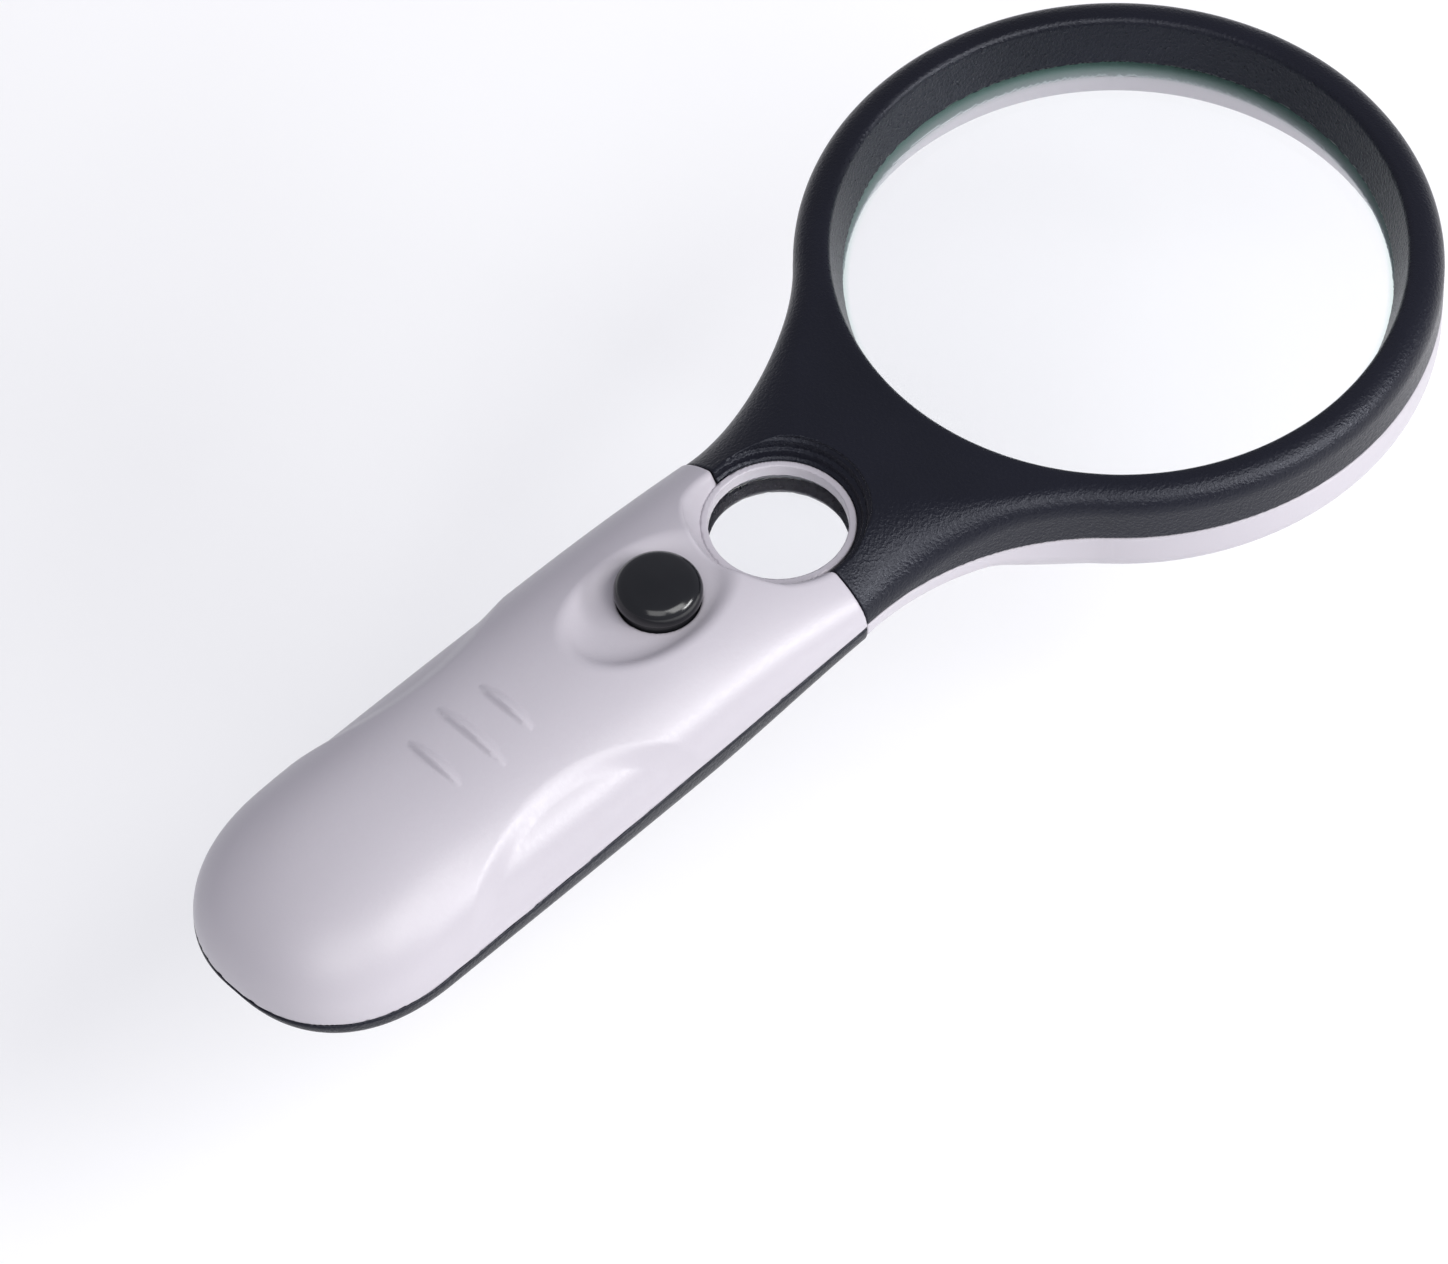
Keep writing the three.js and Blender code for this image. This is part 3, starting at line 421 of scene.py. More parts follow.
HOLDER = [
    (RIM_WINDOW, RIM_Z - 1.9),
    (RIM_WINDOW + 0.7, LENS_SEAT_Z),
    (SMALL_LENS["radius"] + GAP, LENS_SEAT_Z),
    (SMALL_LENS["radius"] + GAP, COLLAR_TOP_Z + GAP),
    (HOLDER_RADIUS, COLLAR_TOP_Z + GAP),
    (HOLDER_RADIUS, HOLDER_TOP_Z),
    (RIM_RADIUS, HOLDER_TOP_Z),
    (RIM_RADIUS, RIM_Z - 0.15),
    (RIM_RADIUS - 0.15, RIM_Z),
    (RIM_WINDOW + 0.1, RIM_Z),
    (RIM_WINDOW, RIM_Z - 0.1),
]


def bowl_field(x, y, z):
    """The thumb bowl: an oval dish with a level floor and walls that curve up to its rim."""
    reach = np.hypot((x - BOWL_X) / (BOWL_LENGTH / 2), y / (BOWL_WIDTH / 2))
    wall = (reach - 1) * BOWL_WIDTH / 2
    floor = BOWL_FLOOR_Z - z
    wall = wall - 0.35 * (z - BOWL_FLOOR_Z - 1.6)
    return cut_with(wall, floor, 3.2)


def top_shell(x, y, z):
    skin = handle_field(x, y, z)
    side = np.abs(y)
    reach = np.hypot(x - SCALLOP_X, side - SCALLOP_Y)
    scallop = smooth((SCALLOP_RADIUS - reach) / SCALLOP_BAND) * smooth((z - seam_z(x) - 0.5) / 2.5)
    outer = skin + SCALLOP_DEPTH * scallop
    for rib_x, length in RIBS:
        taper = clamp(1 - (2 * y / length) ** 2)
        ahead = (x - rib_x) / (0.4 + 0.6 * taper)
        ridge = np.where(ahead > 0, smooth(1 - ahead / RIB_FRONT), smooth(1 + ahead / RIB_REAR))
        outer = outer - RIB_HEIGHT * taper * ridge * (z > RING_HEIGHT - 3)
    hollow = skin + WALL + 0.4 * SCALLOP_DEPTH * scallop
    bowl_pad = (np.hypot((x - BOWL_X) / (BOWL_LENGTH + 3), y / (BOWL_WIDTH + 3)) - 0.5) * 17
    pad = np.minimum(
        post_field(x, y, z, SMALL_X, 0, DISH_PAD_RADIUS, HOLDER_TOP_Z - GAP, ABOVE),
        np.maximum(BOWL_PAD_Z - z, bowl_pad),
    )
    hollow = np.maximum(hollow, -pad)
    body = cut_with(outer, -hollow, EDGE)
    body = cut_with(body, x - JOINT_X, EDGE)
    body = cut_with(body, seam_z(x) + SEAM_GAP / 2 - z, SEAM_EDGE)
    body = cut_with(body, -bowl_field(x, y, z), 0.9)
    body = cut_with(body, -outline_field(np.hypot(x - SMALL_X, y), z, SMOOTH_DISH), 0.9)
    for cx, cy in both_sides(HANDLE_SCREW) + [BUTT_SCREW]:
        boss = post_field(x, y, z, cx, cy, TOP_BOSS_RADIUS, seam_z(cx) + GAP, BOSS_TOP_Z)
        body = np.minimum(body, np.maximum(boss, skin + 0.5))
    body = bored(body, x, y, z, both_sides(HANDLE_SCREW), PILOT_RADIUS, 0, 11.8)
    body = bored(body, x, y, z, [BUTT_SCREW], PILOT_RADIUS, 0, 10.4)
    body = bored(body, x, y, z, [(BUTTON_X, 0)], BUTTON_WAIST + 0.12, 0, ABOVE, 0.4)
    body = bored(body, x, y, z, [(SMALL_X, 0)], RIM_RADIUS - 0.1, 0, ABOVE)
    rim = outline_field(np.hypot(x - SMALL_X, y), z, HOLDER)
    return np.minimum(body, rim)


COLLAR_FLANGE = [
    (RIM_WINDOW, COLLAR_TOP_Z),
    (RIM_WINDOW + 0.4, COLLAR_TOP_Z - 1),
    (HOLDER_RADIUS, COLLAR_TOP_Z - 1),
    (HOLDER_RADIUS, COLLAR_TOP_Z),
]
COLLAR_TUBE = [
    (HOLDER_RADIUS - 0.8, NECK_LIFT),
    (HOLDER_RADIUS, NECK_LIFT),
    (HOLDER_RADIUS, COLLAR_TOP_Z - 0.8),
    (HOLDER_RADIUS - 0.8, COLLAR_TOP_Z - 0.8),
]


def door_outline(x, y, grow):
    """The door's rounded rectangle in plan."""
    corner = 2.5
    qx = np.abs(x - (DOOR_FRONT_X + DOOR_REAR_X) / 2) - (DOOR_FRONT_X - DOOR_REAR_X) / 2 - grow + corner
    qy = np.abs(y) - DOOR_HALF_WIDTH - grow + corner
    return np.hypot(np.maximum(qx, 0), np.maximum(qy, 0)) + np.minimum(np.maximum(qx, qy), 0) - corner


def nail_scoop(x, y, z):
    return np.hypot(x - (DOOR_REAR_X - 1.6), z + 2.2) - 3.0 + np.maximum(np.abs(y) - 4, 0)


def bottom_shell(x, y, z):
    skin = handle_field(x, y, z)
    hollow = skin + WALL
    for cx, cy in both_sides(HANDLE_SCREW):
        hollow = np.maximum(hollow, -post_field(x, y, z, cx, cy, LOWER_POST_RADIUS, -1, 6.6))
    hollow = np.maximum(hollow, -post_field(x, y, z, *BUTT_SCREW, LOWER_POST_RADIUS, -1, 3.6))
    body = cut_with(skin, -hollow, EDGE)
    body = cut_with(body, z - seam_z(x) + SEAM_GAP / 2, SEAM_EDGE)
    for x0, x1 in ((BAY_FRONT_X, BAY_FRONT_X + WALL), (BAY_REAR_X - WALL, BAY_REAR_X)):
        slab = box_field(x, y, z, x0, x1, -20, 20, BAY_FLOOR_Z, BAY_WALL_TOP_Z)
        inside = np.where(z < seam_z(x) - 0.4, skin + WALL / 2, skin + WALL + GAP)
        body = np.minimum(body, np.maximum(slab, inside))
    body = cut_with(body, x - JOINT_X, EDGE)
    body = np.maximum(body, -post_field(x, y, z, SMALL_X, 0, HOLDER_RADIUS - 0.1, -5, 30))
    reach = np.hypot(x - SMALL_X, y)
    tube = np.maximum(outline_field(reach, z, COLLAR_TUBE), x - JOINT_X)
    body = np.minimum(body, np.minimum(outline_field(reach, z, COLLAR_FLANGE), tube))
    for cx, cy in both_sides(NECK_SCREW):
        side = math.copysign(1, cy)
        y0, y1 = sorted((side * 11.95, side * 13.6))
        body = np.minimum(body, box_field(x, y, z, HANDLE_SCREW[0], cx, y0, y1, 5.5, 6.8))
        body = np.minimum(body, post_field(x, y, z, cx, cy, 1.9, 5.5, 6.8))
        tab_y = side * DOOR_TAB_Y
        x0, x1 = BAY_FRONT_X - 0.2, BAY_FRONT_X + WALL + 0.2
        window = box_field(x, y, z, x0, x1, tab_y - 2, tab_y + 2, WALL, 3.4)
        body = np.maximum(body, -window)
    x0, x1 = BAY_REAR_X - WALL - 0.2, BAY_REAR_X + 0.2
    body = np.maximum(body, -box_field(x, y, z, x0, x1, -3.4, 3.4, WALL, 3.2))
    body = bored(body, x, y, z, both_sides(NECK_SCREW), PILOT_RADIUS, 4, 8)
    body = bored(body, x, y, z, both_sides(HANDLE_SCREW), WELL_RADIUS, -1, 4.2)
    body = bored(body, x, y, z, both_sides(HANDLE_SCREW), PILOT_RADIUS, -1, 8)
    body = bored(body, x, y, z, [BUTT_SCREW], WELL_RADIUS, -1, 2.6)
    body = bored(body, x, y, z, [BUTT_SCREW], PILOT_RADIUS, -1, 8)
    doorway = np.maximum(door_outline(x, y, 0.2), z - 2.6)
    body = cut_with(body, -doorway, EDGE)
    return cut_with(body, -nail_scoop(x, y, z), 0.4)


def door(x, y, z):
    skin = handle_field(x, y, z)
    plate = cut_with(skin, -(skin + DOOR_WALL), 0.25)
    body = cut_with(plate, np.maximum(door_outline(x, y, 0), z - 3), 0.4)
    grips = np.full(x.shape, 9.0)
    for k in range(GRIP_COUNT):
        groove_x = DOOR_REAR_X + 6 + GRIP_PITCH * k
        half = 8 - 0.7 * k
        across = np.maximum(np.abs(y) - half, 0)
        grips = np.minimum(grips, np.sqrt((x - groove_x) ** 2 + (z + 0.25) ** 2 + across**2) - 0.75)
    body = cut_with(body, -grips, EDGE)
    for tab_y in (-DOOR_TAB_Y, DOOR_TAB_Y):
        y0, y1 = tab_y - TAB_HALF_WIDTH, tab_y + TAB_HALF_WIDTH
        root = box_field(x, y, z, DOOR_FRONT_X - 3, DOOR_FRONT_X - 1, y0, y1, TAB_ROOT_Z, TAB_TOP_Z)
        tip = box_field(x, y, z, DOOR_FRONT_X - 2, DOOR_FRONT_X + 1.8, y0, y1, TAB_UNDER_Z, TAB_TOP_Z)
        body = np.minimum(body, np.minimum(root, tip))
    y0, y1 = -CATCH_HALF_WIDTH, CATCH_HALF_WIDTH
    root = box_field(x, y, z, DOOR_REAR_X + 0.2, DOOR_REAR_X + 1.4, y0, y1, TAB_ROOT_Z, TAB_TOP_Z)
    tongue = box_field(x, y, z, DOOR_REAR_X - 1.3, DOOR_REAR_X + 1.2, y0, y1, TAB_UNDER_Z, TAB_TOP_Z)
    return np.minimum(np.minimum(body, root), tongue)


# ---------- Meshing ----------


def grid_line(low, high, coarse, fine=None, fine_low=0.0, fine_high=0.0):
    """Grid stations from low to high: coarse ones, with finer ones over one stretch."""
    if fine is None:
        return np.linspace(low, high, max(int((high - low) / coarse), 2) + 1)
    parts = []
    for a, b, step in ((low, fine_low, coarse), (fine_low, fine_high, fine), (fine_high, high, coarse)):
        a, b = max(a, low), min(b, high)
        if b - a > step / 2:
            parts.append(np.linspace(a, b, max(int(round((b - a) / step)), 1) + 1)[:-1])
    return np.append(np.concatenate(parts), high)


def surface_net(field, xs, ys, zs):
    """Vertices and faces of the field's zero surface, on a grid of any spacing."""
    slices = (np.meshgrid(xs[i : i + 1], ys, zs, indexing="ij") for i in range(len(xs)))
    values = np.stack([field(*grid)[0] for grid in slices])
    inside = values < 0
    shape = tuple(n - 1 for n in values.shape)
    total = np.zeros(shape + (3,))
    count = np.zeros(shape)
    axes = (xs, ys, zs)
    crossings = []
    for axis in range(3):
        near = [slice(None)] * 3
        ahead = [slice(None)] * 3
        near[axis], ahead[axis] = slice(None, -1), slice(1, None)
        a, b = values[tuple(near)], values[tuple(ahead)]
        crossing = inside[tuple(near)] != inside[tuple(ahead)]
        where = np.argwhere(crossing)
        share = (a / np.where(a == b, 1, a - b))[crossing]
        point = np.stack([axes[d][where[:, d]] for d in range(3)], axis=1)
        line = axes[axis]
        point[:, axis] += share * (line[where[:, axis] + 1] - line[where[:, axis]])
        crossings.append((axis, where, inside[tuple(near)][crossing]))
        others = [d for d in range(3) if d != axis]
        for da in (0, 1):
            for db in (0, 1):
                cell = where.copy()
                cell[:, others[0]] -= da
                cell[:, others[1]] -= db
                good = np.all((cell >= 0) & (cell < np.array(shape)), axis=1)
                spot = tuple(cell[good].T)
                np.add.at(total, spot, point[good])
                np.add.at(count, spot, 1)
    active = count > 0
    number = np.full(shape, -1)
    number[active] = np.arange(active.sum())
    points = total[active] / count[active][:, None]
    faces = []
    for axis, where, starts_inside in crossings:
        others = [(axis + 1) % 3, (axis + 2) % 3]
        corners = []
        for da, db in ((1, 1), (0, 1), (0, 0), (1, 0)):
            cell = where.copy()
            cell[:, others[0]] -= da
            cell[:, others[1]] -= db
            corners.append(cell)
        good = np.all([np.all((c >= 0) & (c < np.array(shape)), axis=1) for c in corners], axis=0)
        quad = np.stack([number[tuple(c[good].T)] for c in corners], axis=1)
        turned_round = ~starts_inside[good]
        quad[turned_round] = quad[turned_round][:, ::-1]
        faces.append(quad)
    return points, np.concatenate(faces)


def slope_at(field, points, step=0.01):
    x, y, z = points.T
    here = field(x, y, z)
    slope = np.stack(
        [field(x + step, y, z) - here, field(x, y + step, z) - here, field(x, y, z + step) - here], axis=1
    )
    return here, slope / step


def moulded(name, field, xs, ys, zs, settle=3, reach=0.3):
    """A mesh of the field's surface, drawn onto it, with normals from the field."""
    points, faces = surface_net(field, xs, ys, zs)
    for _ in range(settle):
        here, slope = slope_at(field, points)
        size = np.maximum((slope**2).sum(axis=1), 0.2)
        step = slope * (here / size)[:, None]
        length = np.linalg.norm(step, axis=1)
        step *= np.minimum(1, reach / np.maximum(length, 1e-9))[:, None]
        points = points - step
    points = np.clip(points, *BOX)
    _, slope = slope_at(field, points, 0.04)
    normals = slope / np.maximum(np.linalg.norm(slope, axis=1), 1e-9)[:, None]
    mesh = bpy.data.meshes.new(name)
    mesh.vertices.add(len(points))
    mesh.vertices.foreach_set("co", (points * MM).astype(np.float32).ravel())
    mesh.loops.add(faces.size)
    mesh.loops.foreach_set("vertex_index", faces.astype(np.int32).ravel())
    mesh.polygons.add(len(faces))
    mesh.polygons.foreach_set("loop_start", np.arange(0, faces.size, 4, dtype=np.int32))
    mesh.polygons.foreach_set("loop_total", np.full(len(faces), 4, dtype=np.int32))
    mesh.update(calc_edges=True)
    mesh.validate()
    mesh.polygons.foreach_set("use_smooth", np.ones(len(mesh.polygons), bool))
    if len(mesh.vertices) == len(normals):
        mesh.normals_split_custom_set_from_vertices(normals.astype(np.float32))
    made = bpy.data.objects.new(name, mesh)
    bpy.context.scene.collection.objects.link(made)
    return made


CREASE_ANGLE = math.radians(35)


def turned_mesh(name, x, y, outline, segments=96):
    """A fine solid of revolution about an upright axis, from an outline of radius and height."""
    mesh = bpy.data.meshes.new(name)
    bm = bmesh.new()
    rings = []
    for r, z in outline:
        if r < 1e-6:
            rings.append([bm.verts.new((x * MM, y * MM, z * MM))])
            continue
        ring = []
        for k in range(segments):
            a = 2 * math.pi * k / segments
            ring.append(bm.verts.new(((x + r * math.cos(a)) * MM, (y + r * math.sin(a)) * MM, z * MM)))
        rings.append(ring)
    for low, high in zip(rings, rings[1:]):
        for k in range(segments):
            n = (k + 1) % segments
            if len(low) == 1:
                bm.faces.new((low[0], high[n], high[k]))
            elif len(high) == 1:
                bm.faces.new((low[k], low[n], high[0]))
            else:
                bm.faces.new((low[k], low[n], high[n], high[k]))
    bmesh.ops.recalc_face_normals(bm, faces=bm.faces)
    for face in bm.faces:
        face.smooth = True
    for edge in bm.edges:
        edge.smooth = edge.calc_face_angle(0) < CREASE_ANGLE
    bm.to_mesh(mesh)
    bm.free()
    made = bpy.data.objects.new(name, mesh)
    bpy.context.scene.collection.objects.link(made)
    return made


def arc(centre_r, centre_z, radius, start, end, steps):
    angles = [math.radians(mix(start, end, k / steps)) for k in range(steps + 1)]
    return [(centre_r + radius * math.cos(a), centre_z + radius * math.sin(a)) for a in angles]


# ---------- Materials ----------


def new_material(name):
    material = bpy.data.materials.new(name)
    material.use_nodes = True
    nodes, links = material.node_tree.nodes, material.node_tree.links
    shader = nodes["Principled BSDF"]
    place = nodes.new("ShaderNodeTexCoord").outputs["Object"]
    return material, nodes, links, shader, place


def noise(nodes, links, place, grain_mm, detail=2.0, roughness=0.5):
    """Noise whose grains are about this many millimetres across."""
    texture = nodes.new("ShaderNodeTexNoise")
    texture.inputs["Scale"].default_value = 1 / (grain_mm * MM)
    texture.inputs["Detail"].default_value = detail
    texture.inputs["Roughness"].default_value = roughness
    links.new(place, texture.inputs["Vector"])
    return texture.outputs["Fac"]


def ramp(nodes, links, source, stops, interpolation="LINEAR"):
    """Colours or greys over a source value. Each stop is a place and a colour."""
    made = nodes.new("ShaderNodeValToRGB")
    made.color_ramp.interpolation = interpolation
    elements = made.color_ramp.elements
    while len(elements) < len(stops):
        elements.new(0.5)
    for element, (at, colour) in zip(elements, stops):
        element.position = at
        element.color = (*colour, 1)
    links.new(source, made.inputs["Fac"])
    return made.outputs["Color"]


def grey(value):
    return (value, value, value)


def bump(nodes, links, shader, source, depth_mm):
    made = nodes.new("ShaderNodeBump")
    made.inputs["Strength"].default_value = 1.0
    made.inputs["Distance"].default_value = depth_mm * MM
    links.new(source, made.inputs["Height"])
    links.new(made.outputs["Normal"], shader.inputs["Normal"])


def black_plastic():
    """Spark-eroded black moulding: fine even grain with tiny bright facets."""
    material, nodes, links, shader, place = new_material("black_plastic")
    cloud = noise(nodes, links, place, 26, 3)
    shades = [(0.3, (0.0042, 0.0046, 0.008)), (0.7, (0.007, 0.0075, 0.013))]
    links.new(ramp(nodes, links, cloud, shades), shader.inputs["Base Color"])
    grain = noise(nodes, links, place, 0.42, 2.5, 0.6)
    links.new(ramp(nodes, links, grain, [(0.3, grey(0.40)), (0.7, grey(0.25))]), shader.inputs["Roughness"])
    shader.inputs["Specular IOR Level"].default_value = 0.3
    shader.inputs["Specular Tint"].default_value = (0.86, 0.89, 1.0, 1)
    bump(nodes, links, shader, grain, 0.12)
    return material


def white_plastic():
    """Satin white moulding with a faint cool tint and a very fine grain."""
    material, nodes, links, shader, place = new_material("white_plastic")
    cloud = noise(nodes, links, place, 40, 2)
    shades = [(0.3, (0.44, 0.417, 0.458)), (0.7, (0.465, 0.442, 0.483))]
    links.new(ramp(nodes, links, cloud, shades), shader.inputs["Base Color"])
    grain = noise(nodes, links, place, 0.55, 2)
    links.new(ramp(nodes, links, grain, [(0.3, grey(0.38)), (0.7, grey(0.31))]), shader.inputs["Roughness"])
    shader.inputs["Subsurface Weight"].default_value = 0.08
    shader.inputs["Subsurface Radius"].default_value = (0.0012, 0.001, 0.001)
    bump(nodes, links, shader, grain, 0.012)
    return material


def gloss_black():
    material, nodes, links, shader, place = new_material("gloss_black")
    cloud = noise(nodes, links, place, 6, 3)
    shades = [(0.3, (0.004, 0.0045, 0.006)), (0.7, (0.007, 0.0075, 0.009))]
    links.new(ramp(nodes, links, cloud, shades), shader.inputs["Base Color"])
    links.new(ramp(nodes, links, cloud, [(0.3, grey(0.13)), (0.7, grey(0.19))]), shader.inputs["Roughness"])
    bump(nodes, links, shader, noise(nodes, links, place, 2.5, 1), 0.003)
    return material


def deeper_rim(nodes, links, place, colour):
    """The colour with the green of thick acrylic over the outermost band of the main lens."""
    offset = nodes.new("ShaderNodeVectorMath")
    offset.operation = "SUBTRACT"
    offset.inputs[1].default_value = (RING_X * MM, 0, 0)
    links.new(place, offset.inputs[0])
    flat = nodes.new("ShaderNodeVectorMath")
    flat.operation = "MULTIPLY"
    flat.inputs[1].default_value = (1, 1, 0)
    links.new(offset.outputs[0], flat.inputs[0])
    reach = nodes.new("ShaderNodeVectorMath")
    reach.operation = "LENGTH"
    links.new(flat.outputs[0], reach.inputs[0])
    share = nodes.new("ShaderNodeMapRange")
    share.inputs["From Min"].default_value = GREEN_FROM * MM
    share.inputs["From Max"].default_value = 2 * MAIN_LENS["radius"] * MM - GREEN_FROM * MM
    links.new(reach.outputs["Value"], share.inputs["Value"])
    clear = (1.0, 1.0, 1.0)
    shades = [(0.0, clear), (0.3, (0.7, 0.84, 0.79)), (0.5, (0.45, 0.63, 0.57)), (1.0, clear)]
    green = ramp(nodes, links, share.outputs["Result"], shades)
    both = nodes.new("ShaderNodeMix")
    both.data_type = "RGBA"
    both.blend_type = "MULTIPLY"
    factor, first, second = (both.inputs[i] for i in (0, 6, 7))
    factor.default_value = 1.0
    links.new(colour, first)
    links.new(green, second)
    return both.outputs[2]


def clear_acrylic(name, tint, edge_tint):
    """Polished clear acrylic: it shows what is behind it, reflects and darkens towards its edge."""
    material, nodes, links, shader, place = new_material(name)
    nodes.remove(shader)
    output = nodes["Material Output"]
    facing = nodes.new("ShaderNodeLayerWeight")
    facing.inputs["Blend"].default_value = 0.5
    clear = nodes.new("ShaderNodeBsdfTransparent")
    body_colour = ramp(nodes, links, facing.outputs["Facing"], [(0.3, tint), (0.95, edge_tint)])
    links.new(deeper_rim(nodes, links, place, body_colour), clear.inputs["Color"])
    gloss = nodes.new("ShaderNodeBsdfGlossy")
    polish = noise(nodes, links, place, 9, 2)
    links.new(ramp(nodes, links, polish, [(0.3, grey(0.03)), (0.7, grey(0.06))]), gloss.inputs["Roughness"])
    shades = [(0.2, grey(0.035)), (0.7, grey(0.12)), (1.0, grey(0.8))]
    shine = ramp(nodes, links, facing.outputs["Facing"], shades)
    both = nodes.new("ShaderNodeMixShader")
    links.new(shine, both.inputs["Fac"])
    links.new(clear.outputs["BSDF"], both.inputs[1])
    links.new(gloss.outputs["BSDF"], both.inputs[2])
    links.new(both.outputs["Shader"], output.inputs["Surface"])
    return material


def lamp_finish():
    """A lamp's clear resin over its pale yellow phosphor."""
    material, nodes, links, shader, place = new_material("lamp_resin")
    cloud = noise(nodes, links, place, 1.5, 2)
    shades = [(0.3, (0.74, 0.70, 0.42)), (0.7, (0.9, 0.89, 0.78))]
    links.new(ramp(nodes, links, cloud, shades), shader.inputs["Base Color"])
    links.new(ramp(nodes, links, cloud, [(0.3, grey(0.06)), (0.7, grey(0.12))]), shader.inputs["Roughness"])
    shader.inputs["Transmission Weight"].default_value = 0.25
    shader.inputs["IOR"].default_value = 1.5
    return material


def plain_finish(name, dark, light, roughness, grain_mm=0.6, depth_mm=0.01, metallic=0.0):
    """A moulded, dipped or plated surface: two near shades, uneven gloss and a fine grain."""
    material, nodes, links, shader, place = new_material(name)
    cloud = noise(nodes, links, place, grain_mm * 6, 3)
    links.new(ramp(nodes, links, cloud, [(0.3, dark), (0.7, light)]), shader.inputs["Base Color"])
    grain = noise(nodes, links, place, grain_mm, 2)
    shades = [(0.3, grey(roughness + 0.05)), (0.7, grey(roughness - 0.05))]
    links.new(ramp(nodes, links, grain, shades), shader.inputs["Roughness"])
    shader.inputs["Metallic"].default_value = metallic
    bump(nodes, links, shader, grain, depth_mm)
    return material


def cell_finish():
    """A shrink sleeve in blue with a paler band, and bare metal at both ends of the cell."""
    material, nodes, links, shader, place = new_material("cell_sleeve")
    split = nodes.new("ShaderNodeSeparateXYZ")
    links.new(place, split.inputs[0])
    along = nodes.new("ShaderNodeMapRange")
    along.inputs["From Min"].default_value = CELL_REAR_X * MM
    along.inputs["From Max"].default_value = CELL_FRONT_X * MM
    links.new(split.outputs["X"], along.inputs["Value"])
    share = along.outputs["Result"]
    bare, blue, band = (0.6, 0.6, 0.62), (0.05, 0.12, 0.32), (0.62, 0.64, 0.68)
    stops = [(0.0, bare), (0.02, blue), (0.3, band), (0.34, blue), (0.975, bare)]
    links.new(ramp(nodes, links, share, stops, "CONSTANT"), shader.inputs["Base Color"])
    ends = [(0.018, grey(1)), (0.02, grey(0)), (0.975, grey(0)), (0.977, grey(1))]
    links.new(ramp(nodes, links, share, ends), shader.inputs["Metallic"])
    grain = noise(nodes, links, place, 1.2, 2)
    links.new(ramp(nodes, links, grain, [(0.3, grey(0.34)), (0.7, grey(0.26))]), shader.inputs["Roughness"])
    bump(nodes, links, shader, grain, 0.012)
    return material


PLAIN_FINISHES = {
    "switch_nylon": ((0.075, 0.078, 0.085), (0.11, 0.11, 0.12), 0.5),
    "board_green": ((0.012, 0.075, 0.028), (0.02, 0.11, 0.045), 0.38, 0.8),
    "resistor_beige": ((0.5, 0.36, 0.21), (0.6, 0.45, 0.28), 0.48),
    "spring_steel": ((0.52, 0.51, 0.48), (0.66, 0.65, 0.61), 0.28, 0.4, 0.006, 1.0),
    "red_wire": ((0.36, 0.012, 0.012), (0.48, 0.025, 0.02), 0.42),
    "black_wire": ((0.01, 0.01, 0.012), (0.02, 0.02, 0.022), 0.42),
    "screw_steel": ((0.42, 0.43, 0.45), (0.58, 0.59, 0.61), 0.3, 0.5, 0.008, 1.0),
}
finishes = {slot: plain_finish(slot, *look) for slot, look in PLAIN_FINISHES.items()}
finishes["cell_sleeve"] = cell_finish()
finishes["black_plastic"] = black_plastic()
finishes["white_plastic"] = white_plastic()
finishes["gloss_black"] = gloss_black()
finishes["clear_lens"] = clear_acrylic("clear_lens", (0.995, 0.998, 1.0), (0.8, 0.88, 0.86))
finishes["lamp_resin"] = lamp_finish()


def dressed(obj, slot):
    obj.data.materials.clear()
    obj.data.materials.append(finishes[slot])


def placed(obj, body, node, slot):
    """Finishes a new piece, rides it on its body and lets it stand for a CAD node."""
    dressed(obj, slot)
    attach(obj, body)
    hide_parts(node)


# ---------- Pieces ----------

COARSE = 0.45
FINE = 0.2
MARGIN = 0.9


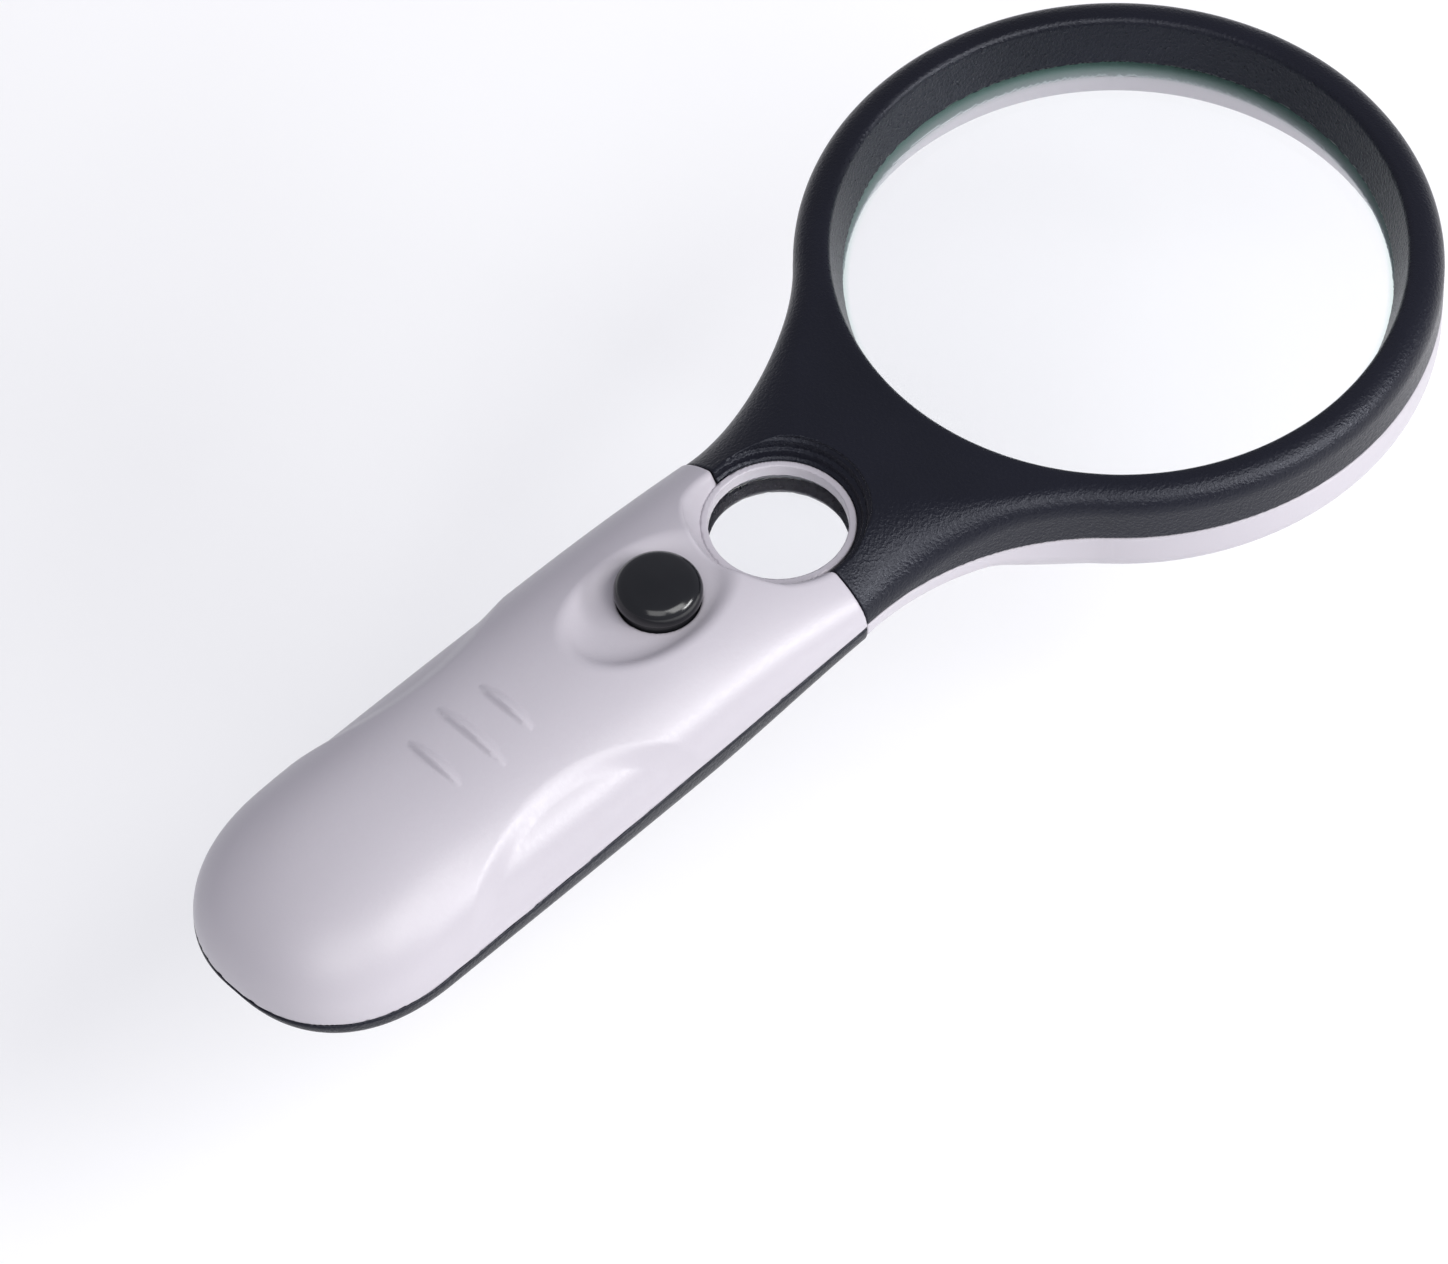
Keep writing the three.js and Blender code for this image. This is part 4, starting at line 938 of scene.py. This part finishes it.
def build_moulded():
    dish = (SMALL_X - DISH_RADIUS - 0.8, SMALL_X + DISH_RADIUS + 0.8)
    ring_xs = grid_line(JOINT_X - 0.6, TOTAL_LENGTH / 2 + MARGIN, COARSE, FINE, JOINT_X - 0.6, dish[1])
    ring_side = RING_RADIUS + MARGIN
    dish_side = DISH_RADIUS + 0.4
    ring_ys = grid_line(-ring_side, ring_side, COARSE, 0.25, -dish_side, dish_side)
    front_zs = grid_line(SEAM_HEIGHT - 0.5, RING_HEIGHT + MARGIN, 0.35, FINE, 11.8, 14.8)
    front = moulded("front_cover", front_cover, ring_xs, ring_ys, front_zs)
    placed(front, "handle", "front_ring_cover", "black_plastic")

    plain_xs = grid_line(SMALL_X - 2, TOTAL_LENGTH / 2 + MARGIN, COARSE)
    plain_ys = grid_line(-ring_side, ring_side, COARSE)
    rear_zs = grid_line(-MARGIN, SEAM_HEIGHT + 0.5, 0.4)
    rear = moulded("rear_cover", rear_cover, plain_xs, plain_ys, rear_zs)
    placed(rear, "handle", "rear_ring_cover", "white_plastic")

    holder_x = SMALL_X + HOLDER_RADIUS + 1
    handle_side = HANDLE_HALF_WIDTH + MARGIN
    handle_xs = grid_line(BUTT_X - MARGIN, holder_x, 0.5, FINE, dish[0], holder_x)
    handle_ys = grid_line(-handle_side, handle_side, COARSE, 0.25, -DISH_RADIUS, DISH_RADIUS)
    top_zs = grid_line(2.8, 18.8, 0.4, 0.22, 11.8, 14.8)
    top = moulded("top_shell", top_shell, handle_xs, handle_ys, top_zs)
    placed(top, "handle", "handle_top_shell", "white_plastic")

    under_xs = grid_line(BUTT_X - MARGIN, NECK_SCREW[0] + 3, COARSE, FINE, BUTT_X - MARGIN, BUTT_X + 5)
    under_ys = grid_line(-handle_side, handle_side, COARSE)
    under_zs = grid_line(-MARGIN, BAY_WALL_TOP_Z + MARGIN, 0.35)
    under = moulded("bottom_shell", bottom_shell, under_xs, under_ys, under_zs, 6)
    placed(under, "handle", "handle_bottom_shell", "black_plastic")

    door_xs = grid_line(DOOR_REAR_X - 2.2, DOOR_FRONT_X + 2.6, 0.4)
    door_ys = grid_line(-DOOR_HALF_WIDTH - MARGIN, DOOR_HALF_WIDTH + MARGIN, 0.4)
    door_zs = grid_line(-MARGIN, 3.6, 0.25)
    placed(moulded("door", door, door_xs, door_ys, door_zs), "door", "battery_door", "black_plastic")


def lens_mesh(name, shape, segments, steps):
    """A biconvex lens with a fine bevel at its edge."""
    curve = (shape["radius"] ** 2 + shape["bulge"] ** 2) / (2 * shape["bulge"])
    bevel = 0.15
    reach = shape["radius"] - bevel
    face = []
    for k in range(steps + 1):
        r = reach * k / steps
        face.append((r, shape["edge"] / 2 + math.sqrt(curve**2 - r**2) - (curve - shape["bulge"])))
    flat = shape["edge"] / 2
    edge = [(shape["radius"], -flat + bevel / 2), (shape["radius"], flat - bevel / 2)]
    outline = [(r, shape["z"] - h) for r, h in face]
    outline += [(r, shape["z"] + h) for r, h in edge]
    outline += [(r, shape["z"] + h) for r, h in reversed(face)]
    return turned_mesh(name, shape["x"], 0, outline, segments)


def build_turned():
    placed(lens_mesh("big_lens", MAIN_LENS, 160, 28), "handle", "main_lens", "clear_lens")
    placed(lens_mesh("strong_lens", SMALL_LENS, 96, 16), "handle", "small_lens", "clear_lens")

    shoulder = 2.0
    flange_z = BOWL_PAD_Z - GAP
    dome_z = BUTTON_TOP_Z - 0.3 - shoulder
    socket_radius = 2.6
    cap_outline = [(0, flange_z - 0.4), (socket_radius, flange_z - 0.4), (socket_radius, flange_z - 1)]
    cap_outline += [(BUTTON_FLANGE - 0.1, flange_z - 1), (BUTTON_FLANGE, flange_z - 0.9)]
    cap_outline += [(BUTTON_FLANGE, flange_z - 0.1), (BUTTON_FLANGE - 0.1, flange_z)]
    cap_outline += [(BUTTON_WAIST, flange_z), (BUTTON_WAIST, BOWL_FLOOR_Z + 0.95)]
    cap_outline += arc(BUTTON_RADIUS - 0.4, BOWL_FLOOR_Z + 1.4, 0.4, -80, 0, 8)
    cap_outline += arc(BUTTON_RADIUS - shoulder, dome_z, shoulder, 0, 78, 14)
    rim_r, rim_z = cap_outline[-1]
    for k in range(1, 11):
        share = k / 10
        cap_outline.append((rim_r * (1 - share), mix(rim_z, BUTTON_TOP_Z, 1 - (1 - share) ** 2)))
    cap_outline[-1] = (0, BUTTON_TOP_Z)
    placed(turned_mesh("button", BUTTON_X, 0, cap_outline, 96), "button", "button_cap", "gloss_black")

    for index, (x, y) in enumerate(lamp_places()):
        node = f"led_lamp_{index + 1}"
        outline = arc(0, LAMP_TIP_Z + LAMP_RADIUS, LAMP_RADIUS, -90, 0, 10)
        outline[0] = (0, LAMP_TIP_Z)
        outline += [(LAMP_RADIUS, LAMP_TOP_Z - 0.8), (LAMP_FLANGE_RADIUS, LAMP_TOP_Z - 0.75)]
        outline += [(LAMP_FLANGE_RADIUS, LAMP_TOP_Z - 0.05), (LAMP_FLANGE_RADIUS - 0.05, LAMP_TOP_Z)]
        outline.append((0, LAMP_TOP_Z))
        placed(turned_mesh(f"lamp_{index + 1}", x, y, outline, 40), "handle", node, "lamp_resin")


def dress_cad_nodes():
    for part in frame["record"]["subparts"]:
        node = frame["nodes"][part["node"]]
        if not node.hide_render:
            dressed(node, part["material_slot"])


# ---------- Floor, light and camera ----------


FLOOR_Z = -85.0  # the magnifier is shown held up, clear of the floor


def floor_material():
    material, nodes, links, shader, place = new_material("pale_floor")
    cloud = noise(nodes, links, place, 300, 2)
    links.new(ramp(nodes, links, cloud, [(0.3, grey(0.95)), (0.7, grey(0.97))]), shader.inputs["Base Color"])
    shader.inputs["Roughness"].default_value = 0.9
    shader.inputs["Specular IOR Level"].default_value = 0.1
    return material


def stage():
    bpy.ops.mesh.primitive_plane_add(size=8, location=(0, 0, FLOOR_Z * MM))
    floor = bpy.context.object
    floor.name = "floor"
    floor.data.materials.append(floor_material())
    world = bpy.data.worlds.new("studio")
    world.use_nodes = True
    background = world.node_tree.nodes["Background"]
    background.inputs["Color"].default_value = (0.88, 0.88, 1.0, 1)
    background.inputs["Strength"].default_value = 0.42
    bpy.context.scene.world = world
    bpy.context.scene.view_settings.view_transform = "Standard"


def soft_light(name, place, target, size, power, colour=(1, 1, 1)):
    data = bpy.data.lights.new(name, "AREA")
    data.shape = "RECTANGLE"
    data.size, data.size_y = size
    data.energy = power
    data.color = colour
    light = bpy.data.objects.new(name, data)
    light.location = place
    light.rotation_mode = "QUATERNION"
    light.rotation_quaternion = (Vector(target) - Vector(place)).to_track_quat("-Z", "Y")
    bpy.context.scene.collection.objects.link(light)


def lights():
    centre = (0.0, 0.0, 0.01)
    soft_light("front", (-1.0, -0.86, 1.52), centre, (1.2, 1.2), 12.5, (1.0, 0.995, 0.98))
    soft_light("key", (0.16, -1.04, 1.2), centre, (0.9, 0.9), 15.2, (1.0, 0.995, 0.98))
    soft_light("right", (0.45, -0.8, 0.42), centre, (0.45, 0.16), 4.8)


def camera():
    """The viewing angle: its right, up and backward directions, and where it stands."""
    right = Vector((0.71821402, -0.69565836, -0.01510184))
    up = Vector((0.56302485, 0.56825321, 0.60007608))
    back = right.cross(up)
    aim = Vector((RING_X, 0, RING_HEIGHT))
    distance, to_left, below = 1423.226, 50.217, 49.5
    place = (aim - to_left * right - below * up + distance * back) * MM
    data = bpy.data.cameras.new("camera")
    data.sensor_width = 36
    data.lens = 278.3
    data.clip_start, data.clip_end = 0.05, 20
    made = bpy.data.objects.new("camera", data)
    axes = Matrix((right, up, back)).transposed()
    made.matrix_world = Matrix.Translation(place) @ axes.to_4x4()
    bpy.context.scene.collection.objects.link(made)
    bpy.context.scene.camera = made


build_moulded()
build_turned()
dress_cad_nodes()
stage()
lights()
camera()
